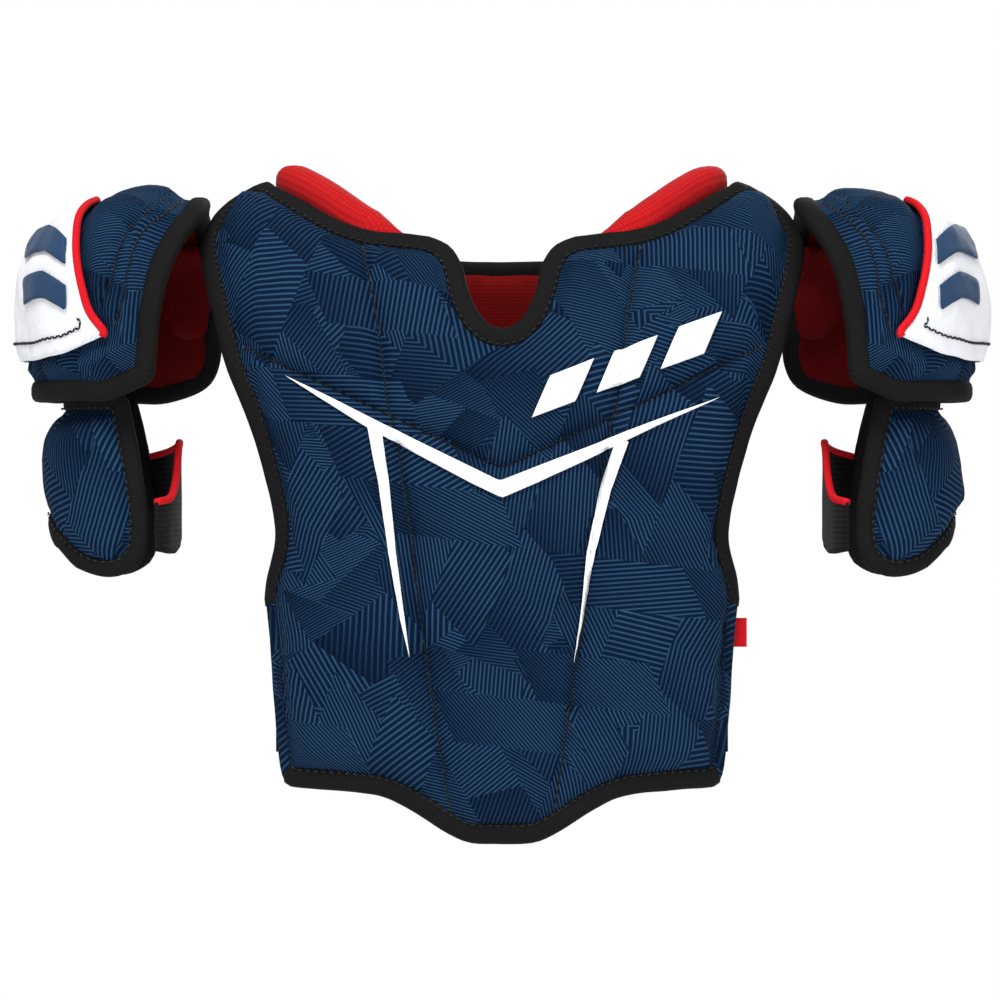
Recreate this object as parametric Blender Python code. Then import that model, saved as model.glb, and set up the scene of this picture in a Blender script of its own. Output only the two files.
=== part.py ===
"""Youth ice-hockey shoulder pads, standing as they are worn: metres, +Z up, the wearer faces -Y.

The origin is on the wearer's shoulders, midway between them. The quilted chest panel is the root. The
back panel hinges on the shoulder ridge, a domed cap lifts over each shoulder, a half-pipe guard swings under
each cap on an elastic link, and hook-and-loop straps close the sides and the arms. "left" and
"right" are the wearer's, so left is at +X.
"""

import math

import bmesh
import bpy
import numpy as np
from mathutils import Vector, geometry

MM = 0.001

# --- Driving dimensions, in metres ---------------------------------------------------------------------
RIDGE_Z = 0.0175  # top of the shoulder seam at the neck
RIDGE_NECK_X = 0.108  # where that seam starts to slope down towards the arm
RIDGE_SLOPE = 0.55
CHEST_DEPTH = 0.070  # how far the chest bulges forward of the ridge
BACK_DEPTH = 0.060
ROLL_DROP = 0.120  # height over which a panel rolls from the ridge into its upright part
SQUARENESS = 2.6  # exponent of the torso's rounded-rectangle cross-section
CHEST_HALF_TOP, CHEST_HALF_LOW = 0.166, 0.1140
BACK_HALF_TOP, BACK_HALF_LOW = 0.158, 0.1020
SHOULDER_Z, WAIST_Z = -0.020, -0.165  # the cross-section narrows from the first to the second

BINDING_R = 0.0046  # edge binding, as a round cord of tape over the squeezed edge
TAPE_DEPTH, TAPE_STEP = 0.0052, 0.0165  # the binding's middle under the surface, and its points' spacing
EDGE_INSET = 0.0116  # a quilted layer stops this far inside the outline, past the binding
SEAM_GAP = 0.0022  # half the gap that a line of quilting leaves between two foam blocks
GAP = 0.0014  # between layers that touch on the real pads

SKIN = 0.0016  # printed shell fabric with its backing
PLATE = 0.0013  # polyethylene inserts
PLATE_INSET = 0.004  # the sternum plate is this much smaller all round than its cell
LINER = 0.0014
FOAM_END = 0.0100  # depth at which the chest and back foam stops
SHEET_STEP = 0.0190  # spacing of the triangles on the torso
SMALL_STEP = 0.0155  # and on the caps and guards

CAP_CENTRE_X, CAP_TOP_Z = 0.141, 0.0088
CAP_RX, CAP_RY, CAP_DROP = 0.0740, 0.0560, 0.0540
CAP_SQUARENESS = 2.5
CAP_FOAM_END = 0.0080
CAP_EDGE_INSET, CAP_TAPE_INSET = 0.0160, 0.0072  # wider, because the dome gathers its pattern at the edge

ARM_X = 0.166  # centre line of the upper arm
GUARD_TOP_Z = -0.081
GUARD_NOMINAL_R = 0.037
GUARD_FOAM_END = 0.0086
GUARD_EDGE_INSET = 0.0098
GUARD_TAPE_R, GUARD_TAPE_DEPTH, GUARD_TAPE_STEP, GUARD_TAPE_INSET = 0.0040, 0.0042, 0.0125, 0.0041
LINK_TOP_Z = -0.0615
LINK_X, LINK_HALF_Y = 0.1890, 0.017
LINK_GAP = 0.0006  # between the link and the guard's top edge

STRAP = 0.0020
SIDE_STRAP_Z = (-0.242, -0.214)
SIDE_STRAP_X = 0.0985


# --- Plane curves and outlines ---------------------------------------------------------------------------
def through(points, step=0.006, unit=1.0):
    """A smooth open curve through the points (Catmull-Rom), sampled about step apart."""
    p = [Vector(q) * unit for q in points]
    p = [2 * p[0] - p[1], *p, 2 * p[-1] - p[-2]]
    out = []
    for a, b, c, d in zip(p, p[1:], p[2:], p[3:]):
        n = max(1, round((c - b).length / step))
        for i in range(n):
            t = i / n
            curve = (2 * a - 5 * b + 4 * c - d) * t**2 + (3 * b - a - 3 * c + d) * t**3
            out.append(0.5 * (2 * b + (c - a) * t + curve))
    return [*out, p[-2]]


def joined(*curves):
    """Curves that meet end to end, as one closed outline."""
    return [Vector(q) for curve in curves for q in curve[:-1]]


def mirrored(half):
    """A closed outline from its half at +X, which runs from the lower centre point to the upper one."""
    return [*half, *(Vector((-q.x, q.y)) for q in reversed(half[1:-1]))]


def area(outline):
    return sum(a.cross(b) for a, b in zip(outline, outline[1:] + outline[:1])) / 2


def distance_to(outline, point):
    closest = (geometry.intersect_point_line(point, a, b) for a, b in zip(outline, outline[1:] + outline[:1]))
    ends = zip(outline, outline[1:] + outline[:1])
    best = 1.0
    for (foot, share), (a, b) in zip(closest, ends):
        near = a if share < 0 else b if share > 1 else foot.to_2d()
        best = min(best, (point - near).length)
    return best


def inset(outline, distance):
    """The outline moved inwards, or outwards if distance is negative, with crossed-over corners dropped."""
    turn = math.copysign(1, area(outline))
    moved = []
    for before, here, after in zip(outline[-1:] + outline[:-1], outline, outline[1:] + outline[:1]):
        along = (here - before).normalized() + (after - here).normalized()
        across = Vector((-along.y, along.x)).normalized() * turn
        moved.append(here + across * distance)
    return [q for q in moved if distance_to(outline, q) > 0.985 * abs(distance)]


def respaced(outline, step):
    """The closed outline with points step apart, keeping its sharp corners."""
    corners = [
        i
        for i, q in enumerate(outline)
        if (q - outline[i - 1]).angle(outline[(i + 1) % len(outline)] - q, 0) > math.radians(28)
    ] or [0]
    out = []
    for i, j in zip(corners, corners[1:] + [corners[0] + len(outline)]):
        run = [outline[k % len(outline)] for k in range(i, j + 1)]
        along = np.cumsum([0, *((b - a).length for a, b in zip(run, run[1:]))])
        if along[-1] < 1e-6:
            continue
        n = max(1, round(along[-1] / step))
        xs, ys = ([q[k] for q in run] for k in (0, 1))
        for at in np.linspace(0, along[-1], n + 1)[:-1]:
            out.append(Vector((np.interp(at, along, xs), np.interp(at, along, ys))))
    return out


def clipped(outline, keep):
    """The part of the outline where keep(point), a straight-line function, is positive."""
    out = []
    for a, b in zip(outline, outline[1:] + outline[:1]):
        fa, fb = keep(a), keep(b)
        if fa >= 0:
            out.append(a)
        if fa * fb < 0:
            out.append(a.lerp(b, fa / (fa - fb)))
    return out


def inside(outline, q):
    hit = False
    for a, b in zip(outline, outline[1:] + outline[:1]):
        if (a.y > q.y) != (b.y > q.y) and q.x < a.x + (b.x - a.x) * (q.y - a.y) / (b.y - a.y):
            hit = not hit
    return hit


# --- Surfaces: flat pattern coordinates (u, v) to a place in space ---------------------------------------
class Surface:
    """A curved surface that a flat pattern is laid on. side is +1 or -1 and turns the normal outwards."""

    side = 1

    def normal(self, u, v):
        e = 0.0005
        du = self.point(u + e, v) - self.point(u - e, v)
        dv = self.point(u, v + e) - self.point(u, v - e)
        return (du.cross(dv)).normalized() * self.side

    def at(self, u, v, depth=0.0):
        """The place depth under the outer surface."""
        return self.point(u, v) - self.normal(u, v) * depth


class Roll:
    """The side profile shared by panels and caps: a quarter of a superellipse, then straight down."""

    def __init__(self, reach, drop, power):
        t = np.linspace(0, math.pi / 2, 400)
        out = np.sin(t) ** (2 / power)
        down = 1 - np.cos(t) ** (2 / power)
        steps = np.hypot(np.diff(out * reach), np.diff(down * drop))
        self.arc = np.append(np.cumsum([0, *steps]), sum(steps) + 1.0)
        self.out = np.append(out, 1.0)
        self.down = np.append(down * drop, drop + 1.0)

    def share(self, s):
        """How far out the profile is at arc length s, from 0 to 1."""
        return float(np.interp(s, self.arc, self.out))

    def drop(self, s):
        return float(np.interp(s, self.arc, self.down))

    def arc_at(self, drop):
        return float(np.interp(drop, self.down, self.arc))


class Panel(Surface):
    """The chest (facing -1) or the back (facing +1). u is across, v is the arc length down from the ridge."""

    def __init__(self, facing, depth, half_top, half_low):
        self.facing, self.depth, self.half_top, self.half_low = facing, depth, half_top, half_low
        self.side = facing
        self.roll = Roll(depth, ROLL_DROP, 2.0)

    def ridge(self, x):
        return RIDGE_Z - RIDGE_SLOPE * max(0.0, abs(x) - RIDGE_NECK_X)

    def half_width(self, z):
        t = min(1.0, max(0.0, (z - WAIST_Z) / (SHOULDER_Z - WAIST_Z)))
        return self.half_low + (self.half_top - self.half_low) * t * t * (3 - 2 * t)

    def point(self, u, v):
        reach, drop = self.roll.share(abs(v)), self.roll.drop(abs(v))
        z = self.ridge(u) - drop
        across = min(0.999, abs(u) / self.half_width(z))
        bulge = (1 - across**SQUARENESS) ** (1 / SQUARENESS)
        return Vector((u, math.copysign(1, v) * self.facing * self.depth * reach * bulge, z))

    def pattern(self, x, z):
        """Pattern coordinates of the place seen at x, z from in front."""
        return Vector((x, self.roll.arc_at(self.ridge(x) - z)))

    def seen(self, q):
        return Vector((q.x, self.ridge(q.x) - self.roll.drop(q.y)))


class Dome(Surface):
    """A shoulder cap for the +X side: (u, v) are distances from its top, u outwards and v to the back."""

    side = 1

    def __init__(self):
        self.roll = Roll((CAP_RX + CAP_RY) / 2, CAP_DROP, CAP_SQUARENESS)

    def point(self, u, v):
        r, turn = math.hypot(u, v), math.atan2(v, u)
        reach = self.roll.share(r)
        x = CAP_CENTRE_X + CAP_RX * reach * math.cos(turn)
        y = CAP_RY * reach * math.sin(turn)
        return Vector((x, y, CAP_TOP_Z - self.roll.drop(r)))

    def pattern(self, x, z, back=1):
        """Pattern coordinates of the place seen at x, z, on the front (-1) or the back (+1) half."""
        r = self.roll.arc_at(CAP_TOP_Z - z)
        cosine = (x - CAP_CENTRE_X) / (CAP_RX * max(self.roll.share(r), 1e-6))
        turn = back * math.acos(max(-1.0, min(1.0, cosine)))
        return Vector((r * math.cos(turn), r * math.sin(turn)))


class HalfPipe(Surface):
    """An arm guard for the +X side: u is the arc length round the arm from its outer side, v is height."""

    side = 1

    def __init__(self):
        heights = (-0.166, -0.158, -0.148, -0.125, -0.104, -0.093, -0.087, -0.078)
        radii = (0.0390, 0.0408, 0.0416, 0.0405, 0.0385, 0.0362, 0.0345, 0.0330)
        self.heights, self.radii = heights, radii

    def point(self, u, v):
        r = float(np.interp(v, self.heights, self.radii))
        turn = u / GUARD_NOMINAL_R
        return Vector((ARM_X + r * math.cos(turn), r * math.sin(turn), v))

    def pattern(self, degrees, z):
        return Vector((math.radians(degrees) * GUARD_NOMINAL_R, z))


class Ribbon(Surface):
    """A strap: u is the arc length along a plan curve, v is height."""

    side = 1

    def __init__(self, plan):
        self.plan = through(plan, 0.003)
        self.arc = np.cumsum([0, *((b - a).length for a, b in zip(self.plan, self.plan[1:]))])

    @property
    def length(self):
        return float(self.arc[-1])

    def point(self, u, v):
        x = float(np.interp(u, self.arc, [q.x for q in self.plan]))
        y = float(np.interp(u, self.arc, [q.y for q in self.plan]))
        return Vector((x, y, v))


class Mirrored(Surface):
    """A +X surface seen in the middle plane, for the wearer's right."""

    def __init__(self, other):
        self.other, self.side = other, -other.side

    def point(self, u, v):
        q = self.other.point(u, v)
        return Vector((-q.x, q.y, q.z))


CHEST = Panel(-1, CHEST_DEPTH, CHEST_HALF_TOP, CHEST_HALF_LOW)
BACK = Panel(1, BACK_DEPTH, BACK_HALF_TOP, BACK_HALF_LOW)
CAP, GUARD = Dome(), HalfPipe()


# --- Blender objects ------------------------------------------------------------------------------------
def material(name, colour, roughness, metallic=0.0):
    made = bpy.data.materials.get(name) or bpy.data.materials.new(name)
    made.use_nodes = True
    shader = made.node_tree.nodes["Principled BSDF"]
    shader.inputs["Base Color"].default_value = (*colour, 1.0)
    shader.inputs["Roughness"].default_value = roughness
    shader.inputs["Metallic"].default_value = metallic
    return made


NAVY = material("navy_fabric", (0.012, 0.045, 0.115), 0.75)
RED = material("red_knit", (0.55, 0.010, 0.012), 0.85)
BLACK = material("black_tape", (0.012, 0.012, 0.013), 0.80)
WHITE = material("white_fabric", (0.80, 0.81, 0.84), 0.75)
FOAM = material("grey_foam", (0.30, 0.31, 0.33), 0.90)
PLASTIC = material("clear_polyethylene", (0.70, 0.72, 0.74), 0.45)


def link(name, data, look):
    data.materials.append(look)
    made = bpy.data.objects.new(name, data)
    bpy.context.scene.collection.objects.link(made)
    return made


def layer(name, outline, surface, depth, thickness, look, step=SHEET_STEP):
    """One flat pattern laid on a surface as a sheet of even thickness, from depth under it inwards."""
    edge = respaced(outline, step * 0.82)
    low = Vector((min(q.x for q in edge), min(q.y for q in edge)))
    high = Vector((max(q.x for q in edge), max(q.y for q in edge)))
    points = list(edge)
    rise = step * math.sqrt(3) / 2
    for row in range(math.floor(low.y / rise), math.ceil(high.y / rise) + 1):
        for column in range(math.floor(low.x / step) - 1, math.ceil(high.x / step) + 1):
            q = Vector(((column + 0.5 * (row % 2)) * step, row * rise))
            if inside(edge, q) and distance_to(edge, q) > 0.5 * step:
                points.append(q)
    ring = [(i, (i + 1) % len(edge)) for i in range(len(edge))]
    flat = geometry.delaunay_2d_cdt(points, ring, [], 1, 1e-7)
    mesh = bmesh.new()
    verts = [mesh.verts.new(surface.at(q.x, q.y, depth)) for q in flat[0]]
    for face in flat[2]:
        mesh.faces.new([verts[i] for i in face])
    mesh.normal_update()
    middle = flat[0][flat[2][0][0]]
    if mesh.faces[:][0].normal.dot(surface.normal(middle.x, middle.y)) < 0:
        bmesh.ops.reverse_faces(mesh, faces=mesh.faces)
    data = bpy.data.meshes.new(name)
    mesh.to_mesh(data)
    mesh.free()
    data.shade_smooth()
    made = link(name, data, look)
    solid = made.modifiers.new("thickness", "SOLIDIFY")
    solid.thickness = thickness
    solid.offset = -1
    return made


def tape(name, path, radius, look, closed=True, sides=2):
    """A round cord of binding or piping along points in space."""
    data = bpy.data.curves.new(name, "CURVE")
    data.dimensions = "3D"
    data.bevel_depth = radius
    data.bevel_resolution = sides
    data.use_fill_caps = True
    spline = data.splines.new("POLY")
    spline.points.add(len(path) - 1)
    for point, place in zip(spline.points, path):
        point.co = (*place, 1)
    spline.use_cyclic_u = closed
    return link(name, data, look)


def edge_tape(name, outline, surface, radius, depth, look, spacing, in_from_edge=BINDING_R):
    """Binding along the whole edge of a pattern."""
    middle = respaced(inset(outline, in_from_edge), spacing)
    return tape(name, [surface.at(q.x, q.y, depth) for q in middle], radius, look, sides=1)


def both(make):
    """Makes a piece for the wearer's left (+X) and its mirror image for the right."""
    for side, sign in (("left", 1), ("right", -1)):
        make(side, (lambda s: s) if sign > 0 else Mirrored, sign)


# --- Chest panel ----------------------------------------------------------------------------------------
def chest_outline():
    """The chest as seen from in front: hem, side, armhole, shoulder seam and neckline with its notch."""
    hem = through(
        [(0, -282), (14, -281.5), (25, -277), (41, -267), (55, -261), (74, -259), (100, -258)],
        unit=MM,
    )
    side = through([(100, -258), (103.5, -250), (106.5, -225), (109, -195), (111.5, -176)], unit=MM)
    armhole = through(
        [(111.5, -176), (110, -165), (105.5, -150), (105.5, -138), (109, -121), (116, -98), (125.5, -74)]
        + [(131, -52), (136, -32), (139, -15)],
        unit=MM,
    )
    corner = through([(139, -15), (133, -2), (125.5, 7)], unit=MM)
    seam = through([(125.5, 7), (108.5, 16.6)], unit=MM)
    neck = through(
        [(108.5, 16.6), (100, 13), (90, 7), (80, 1), (70, -4), (58, -7.5), (44, -9), (32, -10.5)],
        unit=MM,
    )
    notch = through(
        [(32, -10.5), (23, -15), (17.5, -24), (15, -35), (10.5, -45.5), (5, -51.5), (0, -53)],
        unit=MM,
    )
    scaled = [hem, side, armhole, corner, seam, neck, notch]
    half = [q for run in scaled for q in run[:-1]] + [scaled[-1][-1]]
    return [CHEST.pattern(q.x, q.y) for q in mirrored(half)]


QUILT_SLOPE = 0.487  # the V of quilting rises this much per metre outwards
QUILT_LOW_Z = -0.124
UPRIGHT_X, UPRIGHT_LEAN = 0.0611, 0.147  # the upright quilting at z = 0, and its lean outwards going up
CELL_STEP = 0.005


def lean(q):
    """Moves the V of quilting onto a straight level line, so that cells can be cut off along it."""
    return Vector((q.x, q.y - QUILT_SLOPE * abs(q.x)))


def unlean(q):
    return Vector((q.x, q.y + QUILT_SLOPE * abs(q.x)))


def upright(q):
    """How far a place is outside the upright line of quilting, which runs from the neck to the hem."""
    seen = unlean(q)
    return abs(seen.x) - (UPRIGHT_X + seen.y * UPRIGHT_LEAN)


def cell(core, surface, *keeps):
    """A foam block's pattern: the panel's core between lines of quilting."""
    shape = [lean(surface.seen(q)) for q in core]
    for keep in keeps:
        shape = clipped(respaced(shape, CELL_STEP), keep)
    fine = respaced(shape, CELL_STEP)
    return [surface.pattern(q.x, q.y) for q in map(unlean, fine)]


def above(q):
    return q.y - QUILT_LOW_Z - SEAM_GAP


def below(q):
    return QUILT_LOW_Z - SEAM_GAP - q.y


def left_of_seam(q):
    return upright(q) - SEAM_GAP if q.x > 0 else -1.0


def right_of_seam(q):
    return upright(q) - SEAM_GAP if q.x < 0 else -1.0


def between_seams(q):
    return -upright(q) - SEAM_GAP


def chest():
    outline = chest_outline()
    core = inset(outline, EDGE_INSET)
    layer("chest_cover", core, CHEST, 0.0, SKIN, NAVY)
    layer("chest_liner", core, CHEST, FOAM_END + GAP, LINER, RED)
    edge_tape("chest_binding", outline, CHEST, BINDING_R, TAPE_DEPTH, BLACK, TAPE_STEP)

    start = SKIN + GAP
    for side, keep in (("left", left_of_seam), ("right", right_of_seam)):
        for level, half in (("upper", above), ("lower", below)):
            shape = cell(core, CHEST, half, keep)
            layer(f"chest_foam_{level}_{side}", shape, CHEST, start, FOAM_END - start, FOAM)
    under_plate = start + PLATE + GAP
    for level, half in (("upper", above), ("lower", below)):
        shape = cell(core, CHEST, half, between_seams)
        layer(f"chest_foam_{level}_centre", shape, CHEST, under_plate, FOAM_END - under_plate, FOAM)
    plate = inset(cell(core, CHEST, below, between_seams), PLATE_INSET)
    layer("sternum_plate", plate, CHEST, start, PLATE, PLASTIC)


LABEL_Z = (-0.196, -0.183)
LABEL_X, LABEL_WIDTH, LABEL_THICK = 0.1090, 0.0042, 0.0009
LABEL_DEPTH, LABEL_GAP, LABEL_BEHIND = 0.004, 0.0006, 0.006


def label():
    """The folded tab sewn into the wearer's left side seam."""
    low, high = LABEL_Z
    width, thickness = LABEL_WIDTH, LABEL_THICK
    edge = CHEST.at(*CHEST.pattern(LABEL_X, (low + high) / 2), LABEL_DEPTH)
    bm = bmesh.new()
    bmesh.ops.create_cube(bm, size=1.0)
    bmesh.ops.scale(bm, vec=(width, thickness, high - low), verts=bm.verts)
    place = (edge.x + width / 2 + LABEL_GAP, edge.y + LABEL_BEHIND, (low + high) / 2)
    bmesh.ops.translate(bm, vec=place, verts=bm.verts)
    data = bpy.data.meshes.new("side_label")
    bm.to_mesh(data)
    bm.free()
    link("side_label", data, RED)


# --- Back panel -----------------------------------------------------------------------------------------
def back_outline():
    hem = through([(0, -266), (20, -265), (45, -259), (70, -256), (88, -256)], unit=MM)
    side = through([(88, -256), (92.5, -249), (95, -225), (97, -195), (98.5, -172)], unit=MM)
    armhole = through(
        [(98.5, -172), (95.5, -158), (96, -138), (101, -110), (110, -72), (118, -38), (121.5, -10)],
        unit=MM,
    )
    corner = through([(121.5, -10), (122, -2), (118, 10)], unit=MM)
    seam = through([(118, 10), (104, 16.6)], unit=MM)
    neck = through([(104, 16.6), (96, 11), (84, 1), (68, -9), (48, -15.5), (24, -18), (0, -18.5)], unit=MM)
    scaled = [hem, side, armhole, corner, seam, neck]
    half = [q for run in scaled for q in run[:-1]] + [scaled[-1][-1]]
    return [BACK.pattern(q.x, q.y) for q in mirrored(half)]


SPINE_HALF, SPINE_TOP_Z, SPINE_LOW_Z = 0.026, -0.052, -0.216
SPINE_THICK, SPINE_LIP = 0.007, 0.0008  # the lip is the gap between the pad and the cover
SPINE_CORNER, SPINE_EDGE = 0.012, 0.003


def back():
    outline = back_outline()
    core = inset(outline, EDGE_INSET)
    layer("back_cover", core, BACK, 0.0, SKIN, NAVY)
    layer("back_liner", core, BACK, FOAM_END + GAP, LINER, RED)
    edge_tape("back_binding", outline, BACK, BINDING_R, TAPE_DEPTH, BLACK, TAPE_STEP)
    start = SKIN + GAP
    outer, inner = SPINE_HALF + SEAM_GAP, SPINE_HALF - SEAM_GAP
    blocks = {
        "left": [lambda q: q.x - outer],
        "right": [lambda q: -q.x - outer],
        "centre": [lambda q: inner - q.x, lambda q: inner + q.x],
    }
    for name, keeps in blocks.items():
        shape = [BACK.seen(q) for q in core]
        for keep in keeps:
            shape = clipped(shape, keep)
        shape = [BACK.pattern(q.x, q.y) for q in shape]
        layer(f"back_foam_{name}", shape, BACK, start, FOAM_END - start, FOAM)
    spine_pad()


def spine_pad():
    """A moulded pad on the outside of the back, over the spine, with a flat face that it lies on."""
    front_y = BACK_DEPTH + SPINE_LIP
    bm = bmesh.new()
    bmesh.ops.create_cube(bm, size=1.0)
    size = (2 * SPINE_HALF, SPINE_THICK, SPINE_TOP_Z - SPINE_LOW_Z)
    bmesh.ops.scale(bm, vec=size, verts=bm.verts)
    centre = (0, front_y + size[1] / 2, (SPINE_TOP_Z + SPINE_LOW_Z) / 2)
    bmesh.ops.translate(bm, vec=centre, verts=bm.verts)
    upright_edges = [e for e in bm.edges if abs(e.verts[0].co.y - e.verts[1].co.y) > 0.001]
    bmesh.ops.bevel(bm, geom=upright_edges, offset=SPINE_CORNER, segments=4, profile=0.5, affect="EDGES")
    rear = [e for e in bm.edges if all(v.co.y > centre[1] for v in e.verts)]
    bmesh.ops.bevel(bm, geom=rear, offset=SPINE_EDGE, segments=2, profile=0.5, affect="EDGES")
    data = bpy.data.meshes.new("spine_pad")
    bm.to_mesh(data)
    bm.free()
    link("spine_pad", data, NAVY)


# --- Padding round the neck -------------------------------------------------------------------------------
NECK_PAD_R, NECK_PAD_DEPTH, NECK_PAD_STEP = 0.0055, 0.0185, 0.010


def neck_pads(side, turned, sign):
    """A rolled, knit-covered pad inside the neckline, in a front and a back part that meet at the ridge."""
    front = [(101, 12), (94, 6.5), (84, -0.5), (73, -6.5), (62, -10.5)]
    rear = [(97, 11), (89, 3), (78, -7), (66, -14.5), (52, -20)]
    for name, panel, seen in (("neck_pad", CHEST, front), ("collar_pad", BACK, rear)):
        points = [Vector(q) * MM for q in seen]
        line = through(points, NECK_PAD_STEP)
        places = [panel.at(*panel.pattern(q.x, q.y), NECK_PAD_DEPTH) for q in line]
        path = [Vector((sign * q.x, q.y, q.z)) for q in places]
        tape(f"{name}_{side}", path, NECK_PAD_R, RED, closed=False)


YOKE_X, YOKE_HALF_Y, YOKE_DEPTH, YOKE_THICK = (0.109, 0.128), 0.010, 0.0188, 0.0024


def yokes(side, turned, sign):
    """The webbing under the ridge that joins the chest, the back and the cap's hinge."""
    path = [Vector((sign * x, 0, CHEST.ridge(x) - YOKE_DEPTH)) for x in YOKE_X]
    bm = bmesh.new()
    for place in path:
        for y, z in ((-1, 0), (1, 0), (1, -1), (-1, -1)):
            bm.verts.new(place + Vector((0, y * YOKE_HALF_Y, z * YOKE_THICK)))
    bmesh.ops.convex_hull(bm, input=bm.verts[:])
    data = bpy.data.meshes.new("shoulder_yoke")
    bm.to_mesh(data)
    bm.free()
    link(f"shoulder_yoke_{side}", data, BLACK)


# --- Straps at the waist --------------------------------------------------------------------------------
def plate_between(name, low, high, look, bevel=0.0004):
    """A flat rectangular strap or patch between two opposite corners."""
    bm = bmesh.new()
    bmesh.ops.create_cube(bm, size=1.0)
    low, high = Vector(map(min, low, high)), Vector(map(max, low, high))
    bmesh.ops.scale(bm, vec=high - low, verts=bm.verts)
    bmesh.ops.translate(bm, vec=(low + high) / 2, verts=bm.verts)
    bmesh.ops.bevel(bm, geom=bm.edges[:], offset=bevel, segments=1, affect="EDGES")
    data = bpy.data.meshes.new(name)
    bm.to_mesh(data)
    bm.free()
    return link(name, data, look)


SIDE_STRAP_Y = (-0.0270, 0.050)
HOOK_Y = (0.018, 0.048)
HOOK = 0.0013
TOUCH_GAP = 0.0003  # between a hook tab and the strap that it is sewn to
HOOK_INSET = 0.003


def side_straps(side, turned, sign):
    low, high = SIDE_STRAP_Z
    x, outer_x = sign * SIDE_STRAP_X, sign * (SIDE_STRAP_X + STRAP)
    plate_between(f"side_strap_{side}", (x, SIDE_STRAP_Y[0], low), (outer_x, SIDE_STRAP_Y[1], high), BLACK)
    hook_outer = SIDE_STRAP_X - TOUCH_GAP
    plate_between(
        f"side_hook_{side}",
        (sign * (hook_outer - HOOK), HOOK_Y[0], low + HOOK_INSET),
        (sign * hook_outer, HOOK_Y[1], high - HOOK_INSET),
        BLACK,
    )


# --- Shoulder caps --------------------------------------------------------------------------------------
def cap_outline():
    """Front edge from the ridge down, bottom edge round the arm, and rear edge back up."""
    front = [(130.5, 7.0), (134.0, 0), (140.0, -11), (146, -26), (150.5, -40), (153.5, -54), (155.5, -68)]
    front += [(158, -80)]
    rear = [(150, -86), (137, -80), (130.5, -66), (130, -45), (131, -24), (132.5, -6), (134, 5)]
    down = [CAP.pattern(x * MM, z * MM, -1) for x, z in front]
    up = [CAP.pattern(x * MM, z * MM, 1) for x, z in rear]
    low = CAP.roll.arc_at(CAP_TOP_Z + 0.088)
    first, last = (math.atan2(q.y, q.x) for q in (down[-1], up[0]))
    turns = [first + (last - first) * t for t in np.linspace(0.10, 0.93, 9)]
    bottom = [Vector((math.cos(a), math.sin(a))) * low for a in turns]
    return joined(through([*down, *bottom, *up]), through([up[-1], down[0]]))


def patch_outline():
    """The light fabric over the hard cap: the same at the front and the back."""
    front = [(181, 3.8), (186.5, -2), (187.5, -12), (187, -22), (184.5, -35), (181, -46), (173.5, -56)]
    low = [(174, -58), (182, -61.5), (193, -66), (201, -67.6)]
    edge = [CAP.pattern(x * MM, z * MM, -1) for x, z in front]
    hem = [CAP.pattern(x * MM, z * MM, -1) for x, z in low]
    low_r = CAP.roll.arc_at(CAP_TOP_Z + 0.0690)
    hem += [Vector((math.cos(a), math.sin(a))) * low_r for a in np.radians((-27, -18, -9, 0))]
    top = CAP.pattern(0.1805, 0.0040, -1)
    edge[0] = Vector((top.length, -0.0))
    front_edge, front_hem = through(edge), through(hem)
    rear_hem = [Vector((q.x, -q.y)) for q in reversed(front_hem)]
    rear_edge = [Vector((q.x, -q.y)) for q in reversed(front_edge)]
    return joined(front_edge, through([front_edge[-1], front_hem[0]]), front_hem, rear_hem,
                  through([rear_hem[-1], rear_edge[0]]), rear_edge)


SHELL_GAP, SHELL_THICK, SHELL_INSET = 0.0012, 0.0016, 0.0056
PATCH_GAP, PATCH_THICK, PATCH_INSET = 0.0008, 0.0012, 0.0046
PIPING_R, PIPING_DEPTH, PIPING_STEP = 0.0015, -0.0027, 0.0125
CAP_TAPE_DEPTH, CAP_TAPE_STEP = 0.0046, 0.0140
FLAP_DEPTH, FLAP_THICK = 0.0130, 0.0040


def caps(side, turned, sign):
    surface = turned(CAP)
    outline = cap_outline()
    core = inset(outline, CAP_EDGE_INSET)
    start = SKIN + GAP
    layer(f"cap_cover_{side}", core, surface, 0.0, SKIN, NAVY, SMALL_STEP)
    layer(f"cap_foam_{side}", core, surface, start, CAP_FOAM_END - start, FOAM, SMALL_STEP)
    layer(f"cap_liner_{side}", core, surface, CAP_FOAM_END + GAP, LINER, RED, SMALL_STEP)
    name = f"cap_binding_{side}"
    edge_tape(name, outline, surface, BINDING_R, CAP_TAPE_DEPTH, BLACK, CAP_TAPE_STEP, CAP_TAPE_INSET)

    patch = patch_outline()
    shell_face = -SHELL_GAP - SHELL_THICK
    patch_face = shell_face - PATCH_GAP - PATCH_THICK
    shell, fabric = inset(patch, SHELL_INSET), inset(patch, PATCH_INSET)
    layer(f"cap_shell_{side}", shell, surface, shell_face, SHELL_THICK, PLASTIC, SMALL_STEP)
    layer(f"cap_patch_{side}", fabric, surface, patch_face, PATCH_THICK, WHITE, SMALL_STEP)
    piping = respaced(inset(patch, PIPING_R), PIPING_STEP)
    path = [surface.at(q.x, q.y, PIPING_DEPTH) for q in piping]
    tape(f"cap_piping_{side}", path, PIPING_R, RED, sides=1)

    flap = [(133, -6), (146, -3), (160, -6), (166, -22), (163, -42), (152, -56), (140, -58), (134, -48)]
    shape = [CAP.pattern(x * MM, z * MM, 1) for x, z in flap]
    layer(f"cap_flap_{side}", shape, surface, FLAP_DEPTH, FLAP_THICK, RED, SMALL_STEP)


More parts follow.
